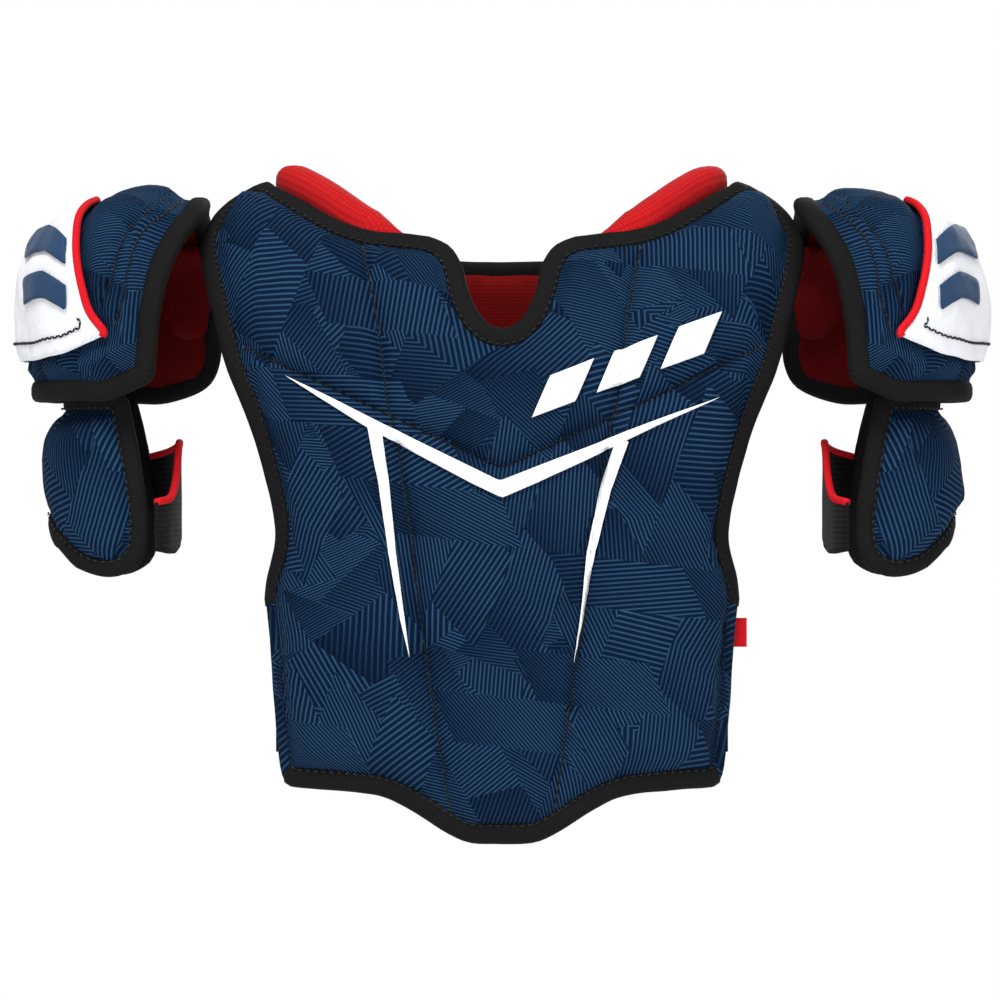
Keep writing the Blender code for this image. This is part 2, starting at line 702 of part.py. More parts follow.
# --- Arm guards -----------------------------------------------------------------------------------------
def guard_outline():
    """Round the arm from front to back: square at the top, rounded and dipping at the bottom corners."""
    left_top, right_top = (-84, GUARD_TOP_Z), (84, GUARD_TOP_Z)
    low = [(84, -81), (92, -98), (99, -122), (102, -143), (97, -158), (80, -165), (56, -163), (28, -152)]
    low += [(0, -143), (-28, -152), (-56, -163), (-80, -165), (-97, -158), (-102, -143), (-99, -122)]
    low += [(-92, -98), (-84, -81)]
    low = [GUARD.pattern(a, z * MM) for a, z in low]
    top = [GUARD.pattern(*left_top), GUARD.pattern(*right_top)]
    return joined(through(low), through(top))


def guards(side, turned, sign):
    surface = turned(GUARD)
    outline = guard_outline()
    core = inset(outline, GUARD_EDGE_INSET)
    start = SKIN + GAP
    layer(f"guard_cover_{side}", core, surface, 0.0, SKIN, NAVY, SMALL_STEP)
    foam = start + PLATE + 1.5 * GAP
    layer(f"guard_foam_{side}", core, surface, foam, GUARD_FOAM_END - foam, FOAM, SMALL_STEP)
    layer(f"guard_liner_{side}", core, surface, GUARD_FOAM_END + GAP, LINER, BLACK, SMALL_STEP)
    name, depth = f"guard_binding_{side}", GUARD_TAPE_DEPTH
    edge_tape(name, outline, surface, GUARD_TAPE_R, depth, BLACK, GUARD_TAPE_STEP, GUARD_TAPE_INSET)
    plate = [(-48, -96), (48, -96), (60, -112), (60, -136), (44, -138), (0, -126), (-44, -138), (-60, -136)]
    plate += [(-60, -112)]
    shape = [GUARD.pattern(a, z * MM) for a, z in plate]
    layer(f"guard_plate_{side}", shape, surface, start, PLATE, PLASTIC, SMALL_STEP)

    inner = (sign * LINK_X, -LINK_HALF_Y, GUARD_TOP_Z + LINK_GAP)
    outer = (sign * (LINK_X + STRAP), LINK_HALF_Y, LINK_TOP_Z)
    plate_between(f"arm_link_{side}", inner, outer, BLACK)


STRAP_STEP, ARM_HOOK, ARM_HOOK_GAP = 0.012, 0.0012, 0.0012


def arm_straps(side, turned, sign):
    """Sewn to the guard's front edge, round the inside of the arm, and closed on the guard's rear face."""
    plan = [(153.4, -38.6), (148.5, -29), (146, -12), (146, 8), (147.5, 29), (153.5, 42), (165, 47.6)]
    plan += [(176, 47.8)]
    ribbon = Ribbon([Vector(q) * MM for q in plan])
    end = ribbon.length
    top = [(0, -0.131), (0.018, -0.127), (0.040, -0.108), (0.060, -0.104), (end - 0.006, -0.112)]
    top += [(end, -0.116)]
    low = [(end, -0.138), (end - 0.006, -0.142), (0.070, -0.146), (0.040, -0.150), (0.018, -0.154)]
    low += [(0, -0.153)]
    outline = joined(through(top), through([top[-1], low[0]]), through(low), through([low[-1], top[0]]))
    surface = turned(ribbon)
    surface.side = -surface.side
    layer(f"arm_strap_{side}", outline, surface, 0.0, STRAP, BLACK, STRAP_STEP)
    hook = [(end - 0.017, -0.118), (end - 0.002, -0.119), (end - 0.002, -0.137), (end - 0.017, -0.139)]
    shape = [Vector(q) for q in hook]
    layer(f"arm_hook_{side}", shape, surface, -ARM_HOOK_GAP - ARM_HOOK, ARM_HOOK, BLACK, STRAP_STEP)


def main():
    for obj in list(bpy.data.objects):
        bpy.data.objects.remove(obj)
    chest()
    label()
    back()
    for make in (neck_pads, yokes, side_straps, caps, guards, arm_straps):
        both(make)


main()
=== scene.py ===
"""Youth ice-hockey shoulder pads: the finished surfaces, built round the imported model.

Each soft layer is a flat pattern laid on the same curved surface as its CAD solid, quilted, and edged with
swept tape. "left" and "right" are the wearer's, so left is at +X. Metres, +Z up, the wearer faces -Y.
"""

import math

import bmesh
import bpy
import numpy as np
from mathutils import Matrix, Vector, geometry, noise

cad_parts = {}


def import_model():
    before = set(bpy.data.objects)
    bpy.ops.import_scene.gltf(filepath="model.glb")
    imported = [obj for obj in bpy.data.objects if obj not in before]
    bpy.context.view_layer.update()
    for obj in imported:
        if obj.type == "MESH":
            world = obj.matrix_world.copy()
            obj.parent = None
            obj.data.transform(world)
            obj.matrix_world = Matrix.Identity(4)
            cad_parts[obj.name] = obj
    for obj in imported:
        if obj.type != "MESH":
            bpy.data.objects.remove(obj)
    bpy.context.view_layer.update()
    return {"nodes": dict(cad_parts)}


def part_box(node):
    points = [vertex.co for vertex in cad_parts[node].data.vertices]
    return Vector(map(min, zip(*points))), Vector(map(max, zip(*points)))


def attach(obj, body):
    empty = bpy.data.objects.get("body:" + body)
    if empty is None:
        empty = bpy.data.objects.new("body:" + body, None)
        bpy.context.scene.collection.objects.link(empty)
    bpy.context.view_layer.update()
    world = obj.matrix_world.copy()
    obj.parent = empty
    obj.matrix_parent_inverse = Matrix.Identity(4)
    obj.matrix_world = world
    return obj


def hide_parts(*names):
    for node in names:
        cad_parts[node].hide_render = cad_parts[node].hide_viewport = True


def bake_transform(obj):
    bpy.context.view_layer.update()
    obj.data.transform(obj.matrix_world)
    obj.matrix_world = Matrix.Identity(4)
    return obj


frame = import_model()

MM = 0.001

# --- The model's own dimensions, as the CAD has them ---
RIDGE_Z, RIDGE_NECK_X, RIDGE_SLOPE = 0.0175, 0.108, 0.55
CHEST_DEPTH, BACK_DEPTH, ROLL_DROP, SQUARENESS = 0.070, 0.060, 0.120, 2.6
CHEST_HALF_TOP, CHEST_HALF_LOW = 0.166, 0.1140
BACK_HALF_TOP, BACK_HALF_LOW = 0.158, 0.1020
SHOULDER_Z, WAIST_Z = -0.020, -0.165
CAP_CENTRE_X, CAP_TOP_Z = 0.141, 0.0088
CAP_RX, CAP_RY, CAP_DROP, CAP_SQUARENESS = 0.0740, 0.0560, 0.0540, 2.5
ARM_X, GUARD_TOP_Z, GUARD_NOMINAL_R = 0.166, -0.081, 0.037
STRAP = 0.0020
SIDE_STRAP_X, SIDE_STRAP_Y, SIDE_STRAP_Z = 0.0985, (-0.0270, 0.050), (-0.242, -0.214)

# --- The finished surface ---
TAPE_HALF = 0.0050  # half the width of the binding on the face
TAPE_DEPTH = 0.0052  # depth of the binding's middle under the outer surface
EDGE_FALL = 0.0052  # how far the layers are squeezed together at an edge
GROOVE_SIDE = 0.0013  # distance from a seam to the rows of points beside it
SEAM_CUT, SEAM_WIDTH = 0.0009, 0.0011  # the thread pulls the cloth down this much more, this far to each side
COVER, LINER = 0.0012, 0.0010  # thickness of the outer cloth, and of the linings and the caps' patches
PANEL_PAD, CAP_PAD, GUARD_PAD = 0.0126, 0.0105, 0.0104  # depth of the linings under the outer surface
PANEL_STITCHES, GUARD_STITCHES = 0.0083, 0.0074  # distance from the outline to the row of stitches
DECAL, DECAL_LIFT = 0.00015, 0.0011  # thickness of a printed shape, and its height on its layer
FINE, MEDIUM = 0.0030, 0.0045  # spacing of the points on the fine and the less visible layers
NARROW = 0.0025  # the same on the straps
CORD_RADIUS = 0.0017  # the red piping on the patches and the arm straps


# --- Plane curves and outlines ---
def through(points, step=0.003, unit=1.0):
    """A smooth open curve through the points (Catmull-Rom), sampled about step apart."""
    p = [Vector(q) * unit for q in points]
    p = [2 * p[0] - p[1], *p, 2 * p[-1] - p[-2]]
    out = []
    for a, b, c, d in zip(p, p[1:], p[2:], p[3:]):
        n = max(1, round((c - b).length / step))
        for i in range(n):
            t = i / n
            square, cube = 2 * a - 5 * b + 4 * c - d, 3 * b - a - 3 * c + d
            out.append(0.5 * (2 * b + (c - a) * t + square * t**2 + cube * t**3))
    return [*out, p[-2]]


def joined(*curves):
    """Curves that meet end to end, as one closed outline."""
    return [Vector(q) for curve in curves for q in curve[:-1]]


def mirrored(half):
    """A closed outline from its half at +X, which runs from the lower centre point to the upper one."""
    return [*half, *(Vector((-q.x, q.y)) for q in reversed(half[1:-1]))]


def flip(points):
    return [Vector((-q[0], *q[1:])) for q in points]


def distances(points, line, closed=True):
    """Each point's distance to a polyline, as an array."""
    p = np.array(points, dtype=float)[:, None, :]
    a = np.array([tuple(q) for q in line], dtype=float)
    b = np.roll(a, -1, axis=0)
    if not closed:
        a, b = a[:-1], b[:-1]
    along = b - a
    length = np.maximum((along**2).sum(-1), 1e-14)
    t = np.clip(((p - a) * along).sum(-1) / length, 0, 1)
    return np.sqrt(((p - a - t[..., None] * along) ** 2).sum(-1)).min(axis=1)


def inside(points, outline):
    p = np.array(points, dtype=float)[:, None, :]
    a = np.array([tuple(q) for q in outline], dtype=float)
    b = np.roll(a, -1, axis=0)
    crosses = (a[:, 1] > p[..., 1]) != (b[:, 1] > p[..., 1])
    rise = np.where(np.abs(b[:, 1] - a[:, 1]) < 1e-12, 1e-12, b[:, 1] - a[:, 1])
    where = a[:, 0] + (b[:, 0] - a[:, 0]) * (p[..., 1] - a[:, 1]) / rise
    return (crosses & (p[..., 0] < where)).sum(axis=1) % 2 == 1


def inset(outline, distance):
    """The outline moved inwards, with crossed-over corners dropped."""
    area = sum(a.cross(b) for a, b in zip(outline, outline[1:] + outline[:1]))
    turn = math.copysign(1, area)
    moved = []
    for before, here, after in zip(outline[-1:] + outline[:-1], outline, outline[1:] + outline[:1]):
        along = (here - before).normalized() + (after - here).normalized()
        moved.append(here + Vector((-along.y, along.x)).normalized() * turn * distance)
    clear = distances([tuple(q) for q in moved], outline) > 0.985 * abs(distance)
    return [q for q, keep in zip(moved, clear) if keep]


def evenly(points, step, closed=False):
    """The curve with points about step apart."""
    run = [*points, points[0]] if closed else list(points)
    along = np.cumsum([0, *((b - a).length for a, b in zip(run, run[1:]))])
    n = max(2, round(along[-1] / step))
    at = np.linspace(0, along[-1], n + 1)
    columns = [np.interp(at, along, [q[k] for q in run]) for k in range(len(run[0]))]
    out = [Vector(q) for q in zip(*columns)]
    return out[:-1] if closed else out


# --- Surfaces: flat pattern coordinates (u, v) to a place in space ---
class Surface:
    side = 1

    def normal(self, u, v):
        e = 0.0005
        du = self.point(u + e, v) - self.point(u - e, v)
        dv = self.point(u, v + e) - self.point(u, v - e)
        return du.cross(dv).normalized() * self.side

    def at(self, u, v, depth=0.0):
        return self.point(u, v) - self.normal(u, v) * depth


class Roll:
    """The side profile shared by panels and caps: a quarter of a superellipse, then straight down."""

    def __init__(self, reach, drop, power):
        t = np.linspace(0, math.pi / 2, 400)
        out = np.sin(t) ** (2 / power)
        down = 1 - np.cos(t) ** (2 / power)
        steps = np.hypot(np.diff(out * reach), np.diff(down * drop))
        self.arc = np.append(np.cumsum([0, *steps]), sum(steps) + 1.0)
        self.out = np.append(out, 1.0)
        self.down = np.append(down * drop, drop + 1.0)

    def share(self, s):
        return float(np.interp(s, self.arc, self.out))

    def drop(self, s):
        return float(np.interp(s, self.arc, self.down))

    def arc_at(self, drop):
        return float(np.interp(drop, self.down, self.arc))


class Panel(Surface):
    """The chest (facing -1) or the back (facing +1). u is across, v is the arc length down from the ridge."""

    def __init__(self, facing, depth, half_top, half_low):
        self.facing, self.depth, self.half_top, self.half_low = facing, depth, half_top, half_low
        self.side = facing
        self.roll = Roll(depth, ROLL_DROP, 2.0)

    def ridge(self, x):
        return RIDGE_Z - RIDGE_SLOPE * max(0.0, abs(x) - RIDGE_NECK_X)

    def half_width(self, z):
        t = min(1.0, max(0.0, (z - WAIST_Z) / (SHOULDER_Z - WAIST_Z)))
        return self.half_low + (self.half_top - self.half_low) * t * t * (3 - 2 * t)

    def point(self, u, v):
        reach, drop = self.roll.share(abs(v)), self.roll.drop(abs(v))
        z = self.ridge(u) - drop
        across = min(0.999, abs(u) / self.half_width(z))
        bulge = (1 - across**SQUARENESS) ** (1 / SQUARENESS)
        return Vector((u, math.copysign(1, v) * self.facing * self.depth * reach * bulge, z))

    def pattern(self, x, z):
        return Vector((x, self.roll.arc_at(self.ridge(x) - z)))


class Dome(Surface):
    """The left shoulder cap: (u, v) are distances from its top, u outwards and v to the back."""

    def __init__(self):
        self.roll = Roll((CAP_RX + CAP_RY) / 2, CAP_DROP, CAP_SQUARENESS)

    def point(self, u, v):
        r, turn = math.hypot(u, v), math.atan2(v, u)
        reach = self.roll.share(r)
        x = CAP_CENTRE_X + CAP_RX * reach * math.cos(turn)
        return Vector((x, CAP_RY * reach * math.sin(turn), CAP_TOP_Z - self.roll.drop(r)))

    def pattern(self, x, z, back=1):
        r = self.roll.arc_at(CAP_TOP_Z - z)
        cosine = (x - CAP_CENTRE_X) / (CAP_RX * max(self.roll.share(r), 1e-6))
        turn = back * math.acos(max(-1.0, min(1.0, cosine)))
        return Vector((r * math.cos(turn), r * math.sin(turn)))


class HalfPipe(Surface):
    """The left arm guard: u is the arc length round the arm from its outer side, v is height."""

    heights = (-0.166, -0.158, -0.148, -0.125, -0.104, -0.093, -0.087, -0.078)
    radii = (0.0390, 0.0408, 0.0416, 0.0405, 0.0385, 0.0362, 0.0345, 0.0330)

    def point(self, u, v):
        r = float(np.interp(v, self.heights, self.radii))
        turn = u / GUARD_NOMINAL_R
        return Vector((ARM_X + r * math.cos(turn), r * math.sin(turn), v))

    def pattern(self, degrees, z):
        return Vector((math.radians(degrees) * GUARD_NOMINAL_R, z))


class Ribbon(Surface):
    """A strap: u is the arc length along a plan curve, v is height."""

    def __init__(self, plan):
        self.plan = through(plan, 0.002)
        self.arc = np.cumsum([0, *((b - a).length for a, b in zip(self.plan, self.plan[1:]))])
        self.length = float(self.arc[-1])

    def point(self, u, v):
        x = float(np.interp(u, self.arc, [q.x for q in self.plan]))
        y = float(np.interp(u, self.arc, [q.y for q in self.plan]))
        return Vector((x, y, v))


class Mirrored(Surface):
    """A left surface seen in the middle plane, for the wearer's right."""

    def __init__(self, other):
        self.other, self.side = other, -other.side

    def point(self, u, v):
        q = self.other.point(u, v)
        return Vector((-q.x, q.y, q.z))


CHEST = Panel(-1, CHEST_DEPTH, CHEST_HALF_TOP, CHEST_HALF_LOW)
BACK = Panel(1, BACK_DEPTH, BACK_HALF_TOP, BACK_HALF_LOW)
CAP, GUARD = Dome(), HalfPipe()


# --- Materials ---
BUMP_STRENGTH = 0.6
BLOTCHES = 0.35  # how much wide blotches count in a cloth's colour, against its ribs


class Graph:
    """A Principled material whose textures run on the pattern's own flat coordinates, in millimetres."""

    def __init__(self, name, roughness, sheen=0.0, uv=True):
        self.material = bpy.data.materials.new(name)
        self.material.use_nodes = True
        self.tree = self.material.node_tree
        self.shader = self.tree.nodes["Principled BSDF"]
        self.shader.inputs["Roughness"].default_value = roughness
        self.shader.inputs["Specular IOR Level"].default_value = 0.12
        self.shader.inputs["Sheen Weight"].default_value = sheen
        self.shader.inputs["Sheen Roughness"].default_value = 0.5
        coordinates = self.tree.nodes.new("ShaderNodeTexCoord")
        self.place = self.scaled(coordinates.outputs["UV" if uv else "Object"], 1 / MM)

    def link(self, value, socket):
        if hasattr(value, "is_output"):
            self.tree.links.new(value, socket)
        else:
            socket.default_value = value

    def math(self, operation, a, b=0.0, clamp=False):
        node = self.tree.nodes.new("ShaderNodeMath")
        node.operation, node.use_clamp = operation, clamp
        self.link(a, node.inputs[0])
        self.link(b, node.inputs[1])
        return node.outputs[0]

    def scaled(self, vector, factor):
        node = self.tree.nodes.new("ShaderNodeVectorMath")
        node.operation = "SCALE"
        self.link(vector, node.inputs[0])
        node.inputs["Scale"].default_value = factor
        return node.outputs[0]

    def split(self, vector):
        node = self.tree.nodes.new("ShaderNodeSeparateXYZ")
        self.link(vector, node.inputs[0])
        return node.outputs

    def noise(self, scale, detail):
        node = self.tree.nodes.new("ShaderNodeTexNoise")
        node.inputs["Scale"].default_value = scale
        node.inputs["Detail"].default_value = detail
        self.link(self.place, node.inputs["Vector"])
        return node.outputs[0]

    def mix(self, share, a, b):
        node = self.tree.nodes.new("ShaderNodeMix")
        node.data_type = "RGBA"
        self.link(share, node.inputs["Factor"])
        self.link(a, node.inputs["A"])
        self.link(b, node.inputs["B"])
        return node.outputs["Result"]

    def wave(self, value, pitch):
        """0 to 1 and back, once every pitch millimetres."""
        turned = self.math("SINE", self.math("MULTIPLY", value, 2 * math.pi / pitch))
        return self.math("ADD", self.math("MULTIPLY", turned, 0.5), 0.5)

    def band(self, value, low, high):
        """0 below low, 1 above high, smooth between."""
        node = self.tree.nodes.new("ShaderNodeMapRange")
        node.interpolation_type = "SMOOTHSTEP"
        self.link(value, node.inputs["Value"])
        node.inputs["From Min"].default_value = low
        node.inputs["From Max"].default_value = high
        return node.outputs[0]

    def finish(self, colour, height, distance):
        bump = self.tree.nodes.new("ShaderNodeBump")
        bump.inputs["Distance"].default_value = distance
        bump.inputs["Strength"].default_value = BUMP_STRENGTH
        self.link(height, bump.inputs["Height"])
        self.link(bump.outputs[0], self.shader.inputs["Normal"])
        self.link(colour, self.shader.inputs["Base Color"])
        return self.material


def woven(name, colour, light, pitch, roughness=0.85, sheen=0.15, bump=0.0003, uv=True):
    """A woven, knitted or ribbed cloth: pitch is its rib spacing along and across, in millimetres."""
    g = Graph(name, roughness, sheen, uv)
    x, y = g.split(g.place)[:2]
    ribs = g.math("MULTIPLY", g.wave(x, pitch[0]), g.wave(y, pitch[1]))
    blotch = g.noise(0.06, 3.0)
    fuzz = g.noise(1.8, 4.0)
    ribbed, blotched = g.math("MULTIPLY", ribs, 1 - BLOTCHES), g.math("MULTIPLY", blotch, BLOTCHES)
    shade = g.mix(g.math("ADD", ribbed, blotched, clamp=True), (*colour, 1), (*light, 1))
    return g.finish(shade, g.math("ADD", ribs, g.math("MULTIPLY", fuzz, 0.5)), bump)


GROUND, GROUND_LIGHT = (0.0006, 0.0052, 0.0190, 1), (0.0020, 0.0110, 0.0360, 1)
LINE_COLOUR = (0.030, 0.082, 0.158, 1)
# each layer of printed shards: width, height, turn, shear, share left out, line pitch (millimetres, radians)
SHARD_LAYERS = (
    (62, 34, 0.35, 0.45, 0.00, 1.5),
    (48, 30, -0.62, -0.35, 0.35, 2.1),
    (70, 24, 1.05, 0.30, 0.50, 1.6),
    (44, 26, -1.20, 0.50, 0.55, 2.0),
    (58, 22, 0.12, -0.60, 0.62, 1.8),
)


def printed(name):
    """Navy cloth printed with overlapping parallelograms, each ruled with fine lighter lines its own way."""
    g = Graph(name, 0.78)
    g.shader.inputs["Specular IOR Level"].default_value = 0.04
    u, v = g.split(g.place)[:2]
    weave = g.math("MULTIPLY", g.wave(u, 0.9), g.wave(v, 0.9))
    threads = g.math("ADD", g.math("MULTIPLY", g.wave(g.math("ADD", u, v), 1.0), 0.45), 0.55)
    colour = GROUND
    for i, (width, height, turn, shear, left_out, pitch) in enumerate(SHARD_LAYERS):
        cosine, sine = math.cos(turn), math.sin(turn)
        x = g.math("ADD", g.math("MULTIPLY", u, cosine), g.math("MULTIPLY", v, sine))
        y = g.math("SUBTRACT", g.math("MULTIPLY", v, cosine), g.math("MULTIPLY", u, sine))
        row = g.math("DIVIDE", y, height)
        row_number = g.math("FLOOR", row)
        leaning = g.math("ADD", x, g.math("MULTIPLY", y, shear))
        stagger = g.math("MULTIPLY", row_number, 0.37 + 0.11 * i)
        column = g.math("ADD", g.math("DIVIDE", leaning, width), stagger)
        cell = g.tree.nodes.new("ShaderNodeCombineXYZ")
        g.link(g.math("FLOOR", column), cell.inputs[0])
        g.link(row_number, cell.inputs[1])
        cell.inputs[2].default_value = 7.0 * i
        dice = g.tree.nodes.new("ShaderNodeTexWhiteNoise")
        g.link(cell.outputs[0], dice.inputs["Vector"])
        pick = g.split(dice.outputs["Color"])
        across = g.math("MULTIPLY", g.math("SUBTRACT", g.math("FRACT", column), 0.5), width)
        up = g.math("MULTIPLY", g.math("SUBTRACT", g.math("FRACT", row), 0.5), height)
        bend = g.math("SUBTRACT", g.math("ABSOLUTE", across), across)
        folded = g.math("ADD", across, g.math("MULTIPLY", bend, g.math("GREATER_THAN", pick[2], 0.72)))
        angle = g.math("MULTIPLY", g.math("SUBTRACT", pick[0], 0.5), 2.4)
        ruled = g.math("MULTIPLY", folded, g.math("SINE", angle))
        ruled = g.math("ADD", ruled, g.math("MULTIPLY", up, g.math("COSINE", angle)))
        lines = g.band(g.wave(ruled, pitch), 0.50, 1.00)
        slant = g.math("ADD", g.math("FRACT", column), g.math("MULTIPLY", pick[1], 0.7))
        fade = g.band(slant, 0.0, 1.35)
        ground = g.mix(g.math("MULTIPLY", fade, 0.7), GROUND, GROUND_LIGHT)
        inked = g.mix(g.math("MULTIPLY", g.math("MULTIPLY", lines, threads), fade), ground, LINE_COLOUR)
        colour = g.mix(g.math("GREATER_THAN", pick[1], left_out), colour, inked)
    height = g.math("ADD", weave, g.math("MULTIPLY", g.noise(1.5, 4.0), 0.6))
    return g.finish(colour, height, 0.00022)


PRINT = printed("print_navy")
RED = woven("knit_red", (0.34, 0.004, 0.006), (0.66, 0.012, 0.014), (1.7, 1.7), sheen=0.03)
# Painted shade: a darker copy of the red knit for the chest and back linings, standing in for the shade inside
# the panels.
RED_LINING_PAINTED_SHADE = woven("knit_red_lining_painted_shade", (0.11, 0.001, 0.0015), (0.24, 0.002, 0.003), (1.7, 1.7), sheen=0.0)
# Painted shade: a still darker red for the caps' linings and inner pads, standing in for the shade inside the
# caps.
RED_SHADED = woven("knit_red_painted_shade", (0.075, 0.0006, 0.001), (0.16, 0.0012, 0.002), (1.7, 1.7), sheen=0.0)
BLACK_LINER = woven("knit_black", (0.002, 0.002, 0.0023), (0.010, 0.010, 0.011), (1.5, 1.5), sheen=0.05)
TAPE = woven("tape_black", (0.003, 0.003, 0.0032), (0.011, 0.011, 0.0115), (1.3, 60), sheen=0, bump=0.00016)
ELASTIC = woven("elastic_black", (0.002, 0.002, 0.0022), (0.011, 0.011, 0.012), (1.2, 2.4), 0.85, 0.04, 0.0004)
WHITE = woven("knit_white", (0.78, 0.80, 0.85), (0.95, 0.95, 0.97), (1.3, 1.3), sheen=0.05)
INK_WHITE = woven("ink_white", (0.90, 0.91, 0.93), (0.96, 0.96, 0.97), (0.9, 0.9), 0.55, bump=0.0001)
INK_NAVY = woven("ink_navy", (0.012, 0.040, 0.100), (0.018, 0.055, 0.130), (0.9, 0.9), 0.6, bump=0.0001)
PIPING = woven("piping_red", (0.55, 0.006, 0.012), (0.82, 0.014, 0.022), (1.0, 3.0), sheen=0.0, bump=0.0002)
THREAD = woven("thread_black", (0.0015, 0.0018, 0.0025), (0.005, 0.006, 0.008), (0.5, 0.5), 0.6, bump=0.0001)
FOAM = woven("foam_grey", (0.22, 0.23, 0.25), (0.36, 0.37, 0.39), (0.8, 0.8), uv=False)
SHEET = woven("sheet_polyethylene", (0.62, 0.64, 0.66), (0.74, 0.76, 0.78), (9.0, 9.0), 0.4, uv=False)
HOOK = woven("hook_tape", (0.006, 0.006, 0.007), (0.030, 0.030, 0.032), (1.0, 1.0), bump=0.0006, uv=False)
SPINE = woven("spine_cloth", (0.005, 0.014, 0.040), (0.010, 0.028, 0.075), (1.1, 1.1), uv=False)


# --- Pieces ---
def piece(name, verts, faces, uvs, look, body, replaces=()):
    data = bpy.data.meshes.new(name)
    data.from_pydata([tuple(v) for v in verts], [], faces)
    layer = data.uv_layers.new(name="pattern")
    order = np.empty(len(data.loops), dtype=int)
    data.loops.foreach_get("vertex_index", order)
    layer.data.foreach_set("uv", np.array([tuple(q)[:2] for q in uvs], dtype=float)[order].ravel())
    data.materials.append(look)
    data.shade_smooth()
    made = bpy.data.objects.new(name, data)
    bpy.context.scene.collection.objects.link(made)
    if body:
        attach(made, body)
    if replaces:
        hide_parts(*replaces)
    return made


def seam_rows(seams, outline, step):
    """Rows of points on each seam and close on both sides of it, so that the groove is crisp."""
    rows = []
    for seam in seams:
        line = evenly([Vector(q) for q in seam], 0.8 * step)
        for offset in (-GROOVE_SIDE, 0.0, GROOVE_SIDE):
            for before, here, after in zip([line[0], *line], line, [*line[1:], line[-1]]):
                along = (after - before).normalized()
                rows.append(here + Vector((-along.y, along.x)) * offset)
    if not rows:
        return []
    flat = [tuple(q) for q in rows]
    keep = inside(flat, outline) & (distances(flat, outline) > 0.5 * step)
    return [q for q, kept in zip(rows, keep) if kept]


def cloth(name, outline, surface, depth_of, thickness, look, body, replaces=(), step=FINE, seams=()):
    """A layer of cloth. depth_of gives its depth at flat points, from them and their distance to the edge."""
    edge = evenly(outline, step, closed=True)
    corners = np.array([tuple(q) for q in edge])
    low, high = corners.min(axis=0), corners.max(axis=0)
    rise = step * math.sqrt(3) / 2
    grid = [
        ((column + 0.5 * (row % 2)) * step, row * rise)
        for row in range(math.floor(low[1] / rise), math.ceil(high[1] / rise) + 1)
        for column in range(math.floor(low[0] / step) - 1, math.ceil(high[0] / step) + 1)
    ]
    keep = inside(grid, edge) & (distances(grid, edge) > 0.55 * step)
    for seam in seams:
        keep &= distances(grid, seam, closed=False) > GROOVE_SIDE + 0.45 * step
    points = [*edge, *seam_rows(seams, edge, step), *(Vector(q) for q, kept in zip(grid, keep) if kept)]
    ring = [(i, (i + 1) % len(edge)) for i in range(len(edge))]
    flat = geometry.delaunay_2d_cdt(points, ring, [], 1, 1e-5)
    spots = np.array([tuple(q) for q in flat[0]])
    depths = depth_of(spots, distances(spots, edge))
    verts = [surface.at(u, v, depth) for (u, v), depth in zip(spots, depths)]
    faces = [tuple(face) for face in flat[2]]
    a, b, c = (verts[i] for i in faces[0][:3])
    if (b - a).cross(c - a).dot(surface.normal(*spots[faces[0][0]])) < 0:
        faces = [face[::-1] for face in faces]
    made = piece(name, verts, faces, spots, look, body, replaces)
    solid = made.modifiers.new("thickness", "SOLIDIFY")
    solid.thickness, solid.offset = thickness, -1
    return made


def rumple(spots, scale, height, seed):
    """Soft creases over a layer."""
    return np.array([noise.noise(Vector((u * scale, v * scale, seed))) * height for u, v in spots])


def quilted(seams, puff, groove=0.0042, seed=1.0, sink=EDGE_FALL, under_tape=0.0040):
    """Depth of a padded face: it swells between its seams, and lies flat under the tape at its edge."""

    def depth_of(spots, to_edge):
        to_seam = np.full(len(spots), 1.0)
        for seam in seams:
            to_seam = np.minimum(to_seam, distances(spots, seam, closed=False))
        free = np.maximum(to_edge - under_tape, 0)
        full = (1 - np.exp(-to_seam / groove)) * (1 - np.exp(-free / 0.008))
        cut = SEAM_CUT * np.exp(-((to_seam / SEAM_WIDTH) ** 2)) * np.minimum(1, free / 0.006)
        pucker = rumple(spots, 240, 0.0015, seed + 7) * np.exp(-np.minimum(to_seam, free) / 0.008)
        creases = rumple(spots, 34, 0.0022, seed) + rumple(spots, 90, 0.0008, seed + 3)
        squeeze = 0.60 * sink * np.exp(-((free / 0.004) ** 2))
        return squeeze + cut - puff * full - (creases + pucker) * np.minimum(1, free / 0.006)

    return depth_of


def lining(depth, seed=5.0):
    """Depth of an inner layer, which the edge pulls outwards."""

    def depth_of(spots, to_edge):
        return depth - EDGE_FALL * np.exp(-to_edge / 0.006) + rumple(spots, 60, 0.0007, seed)

    return depth_of


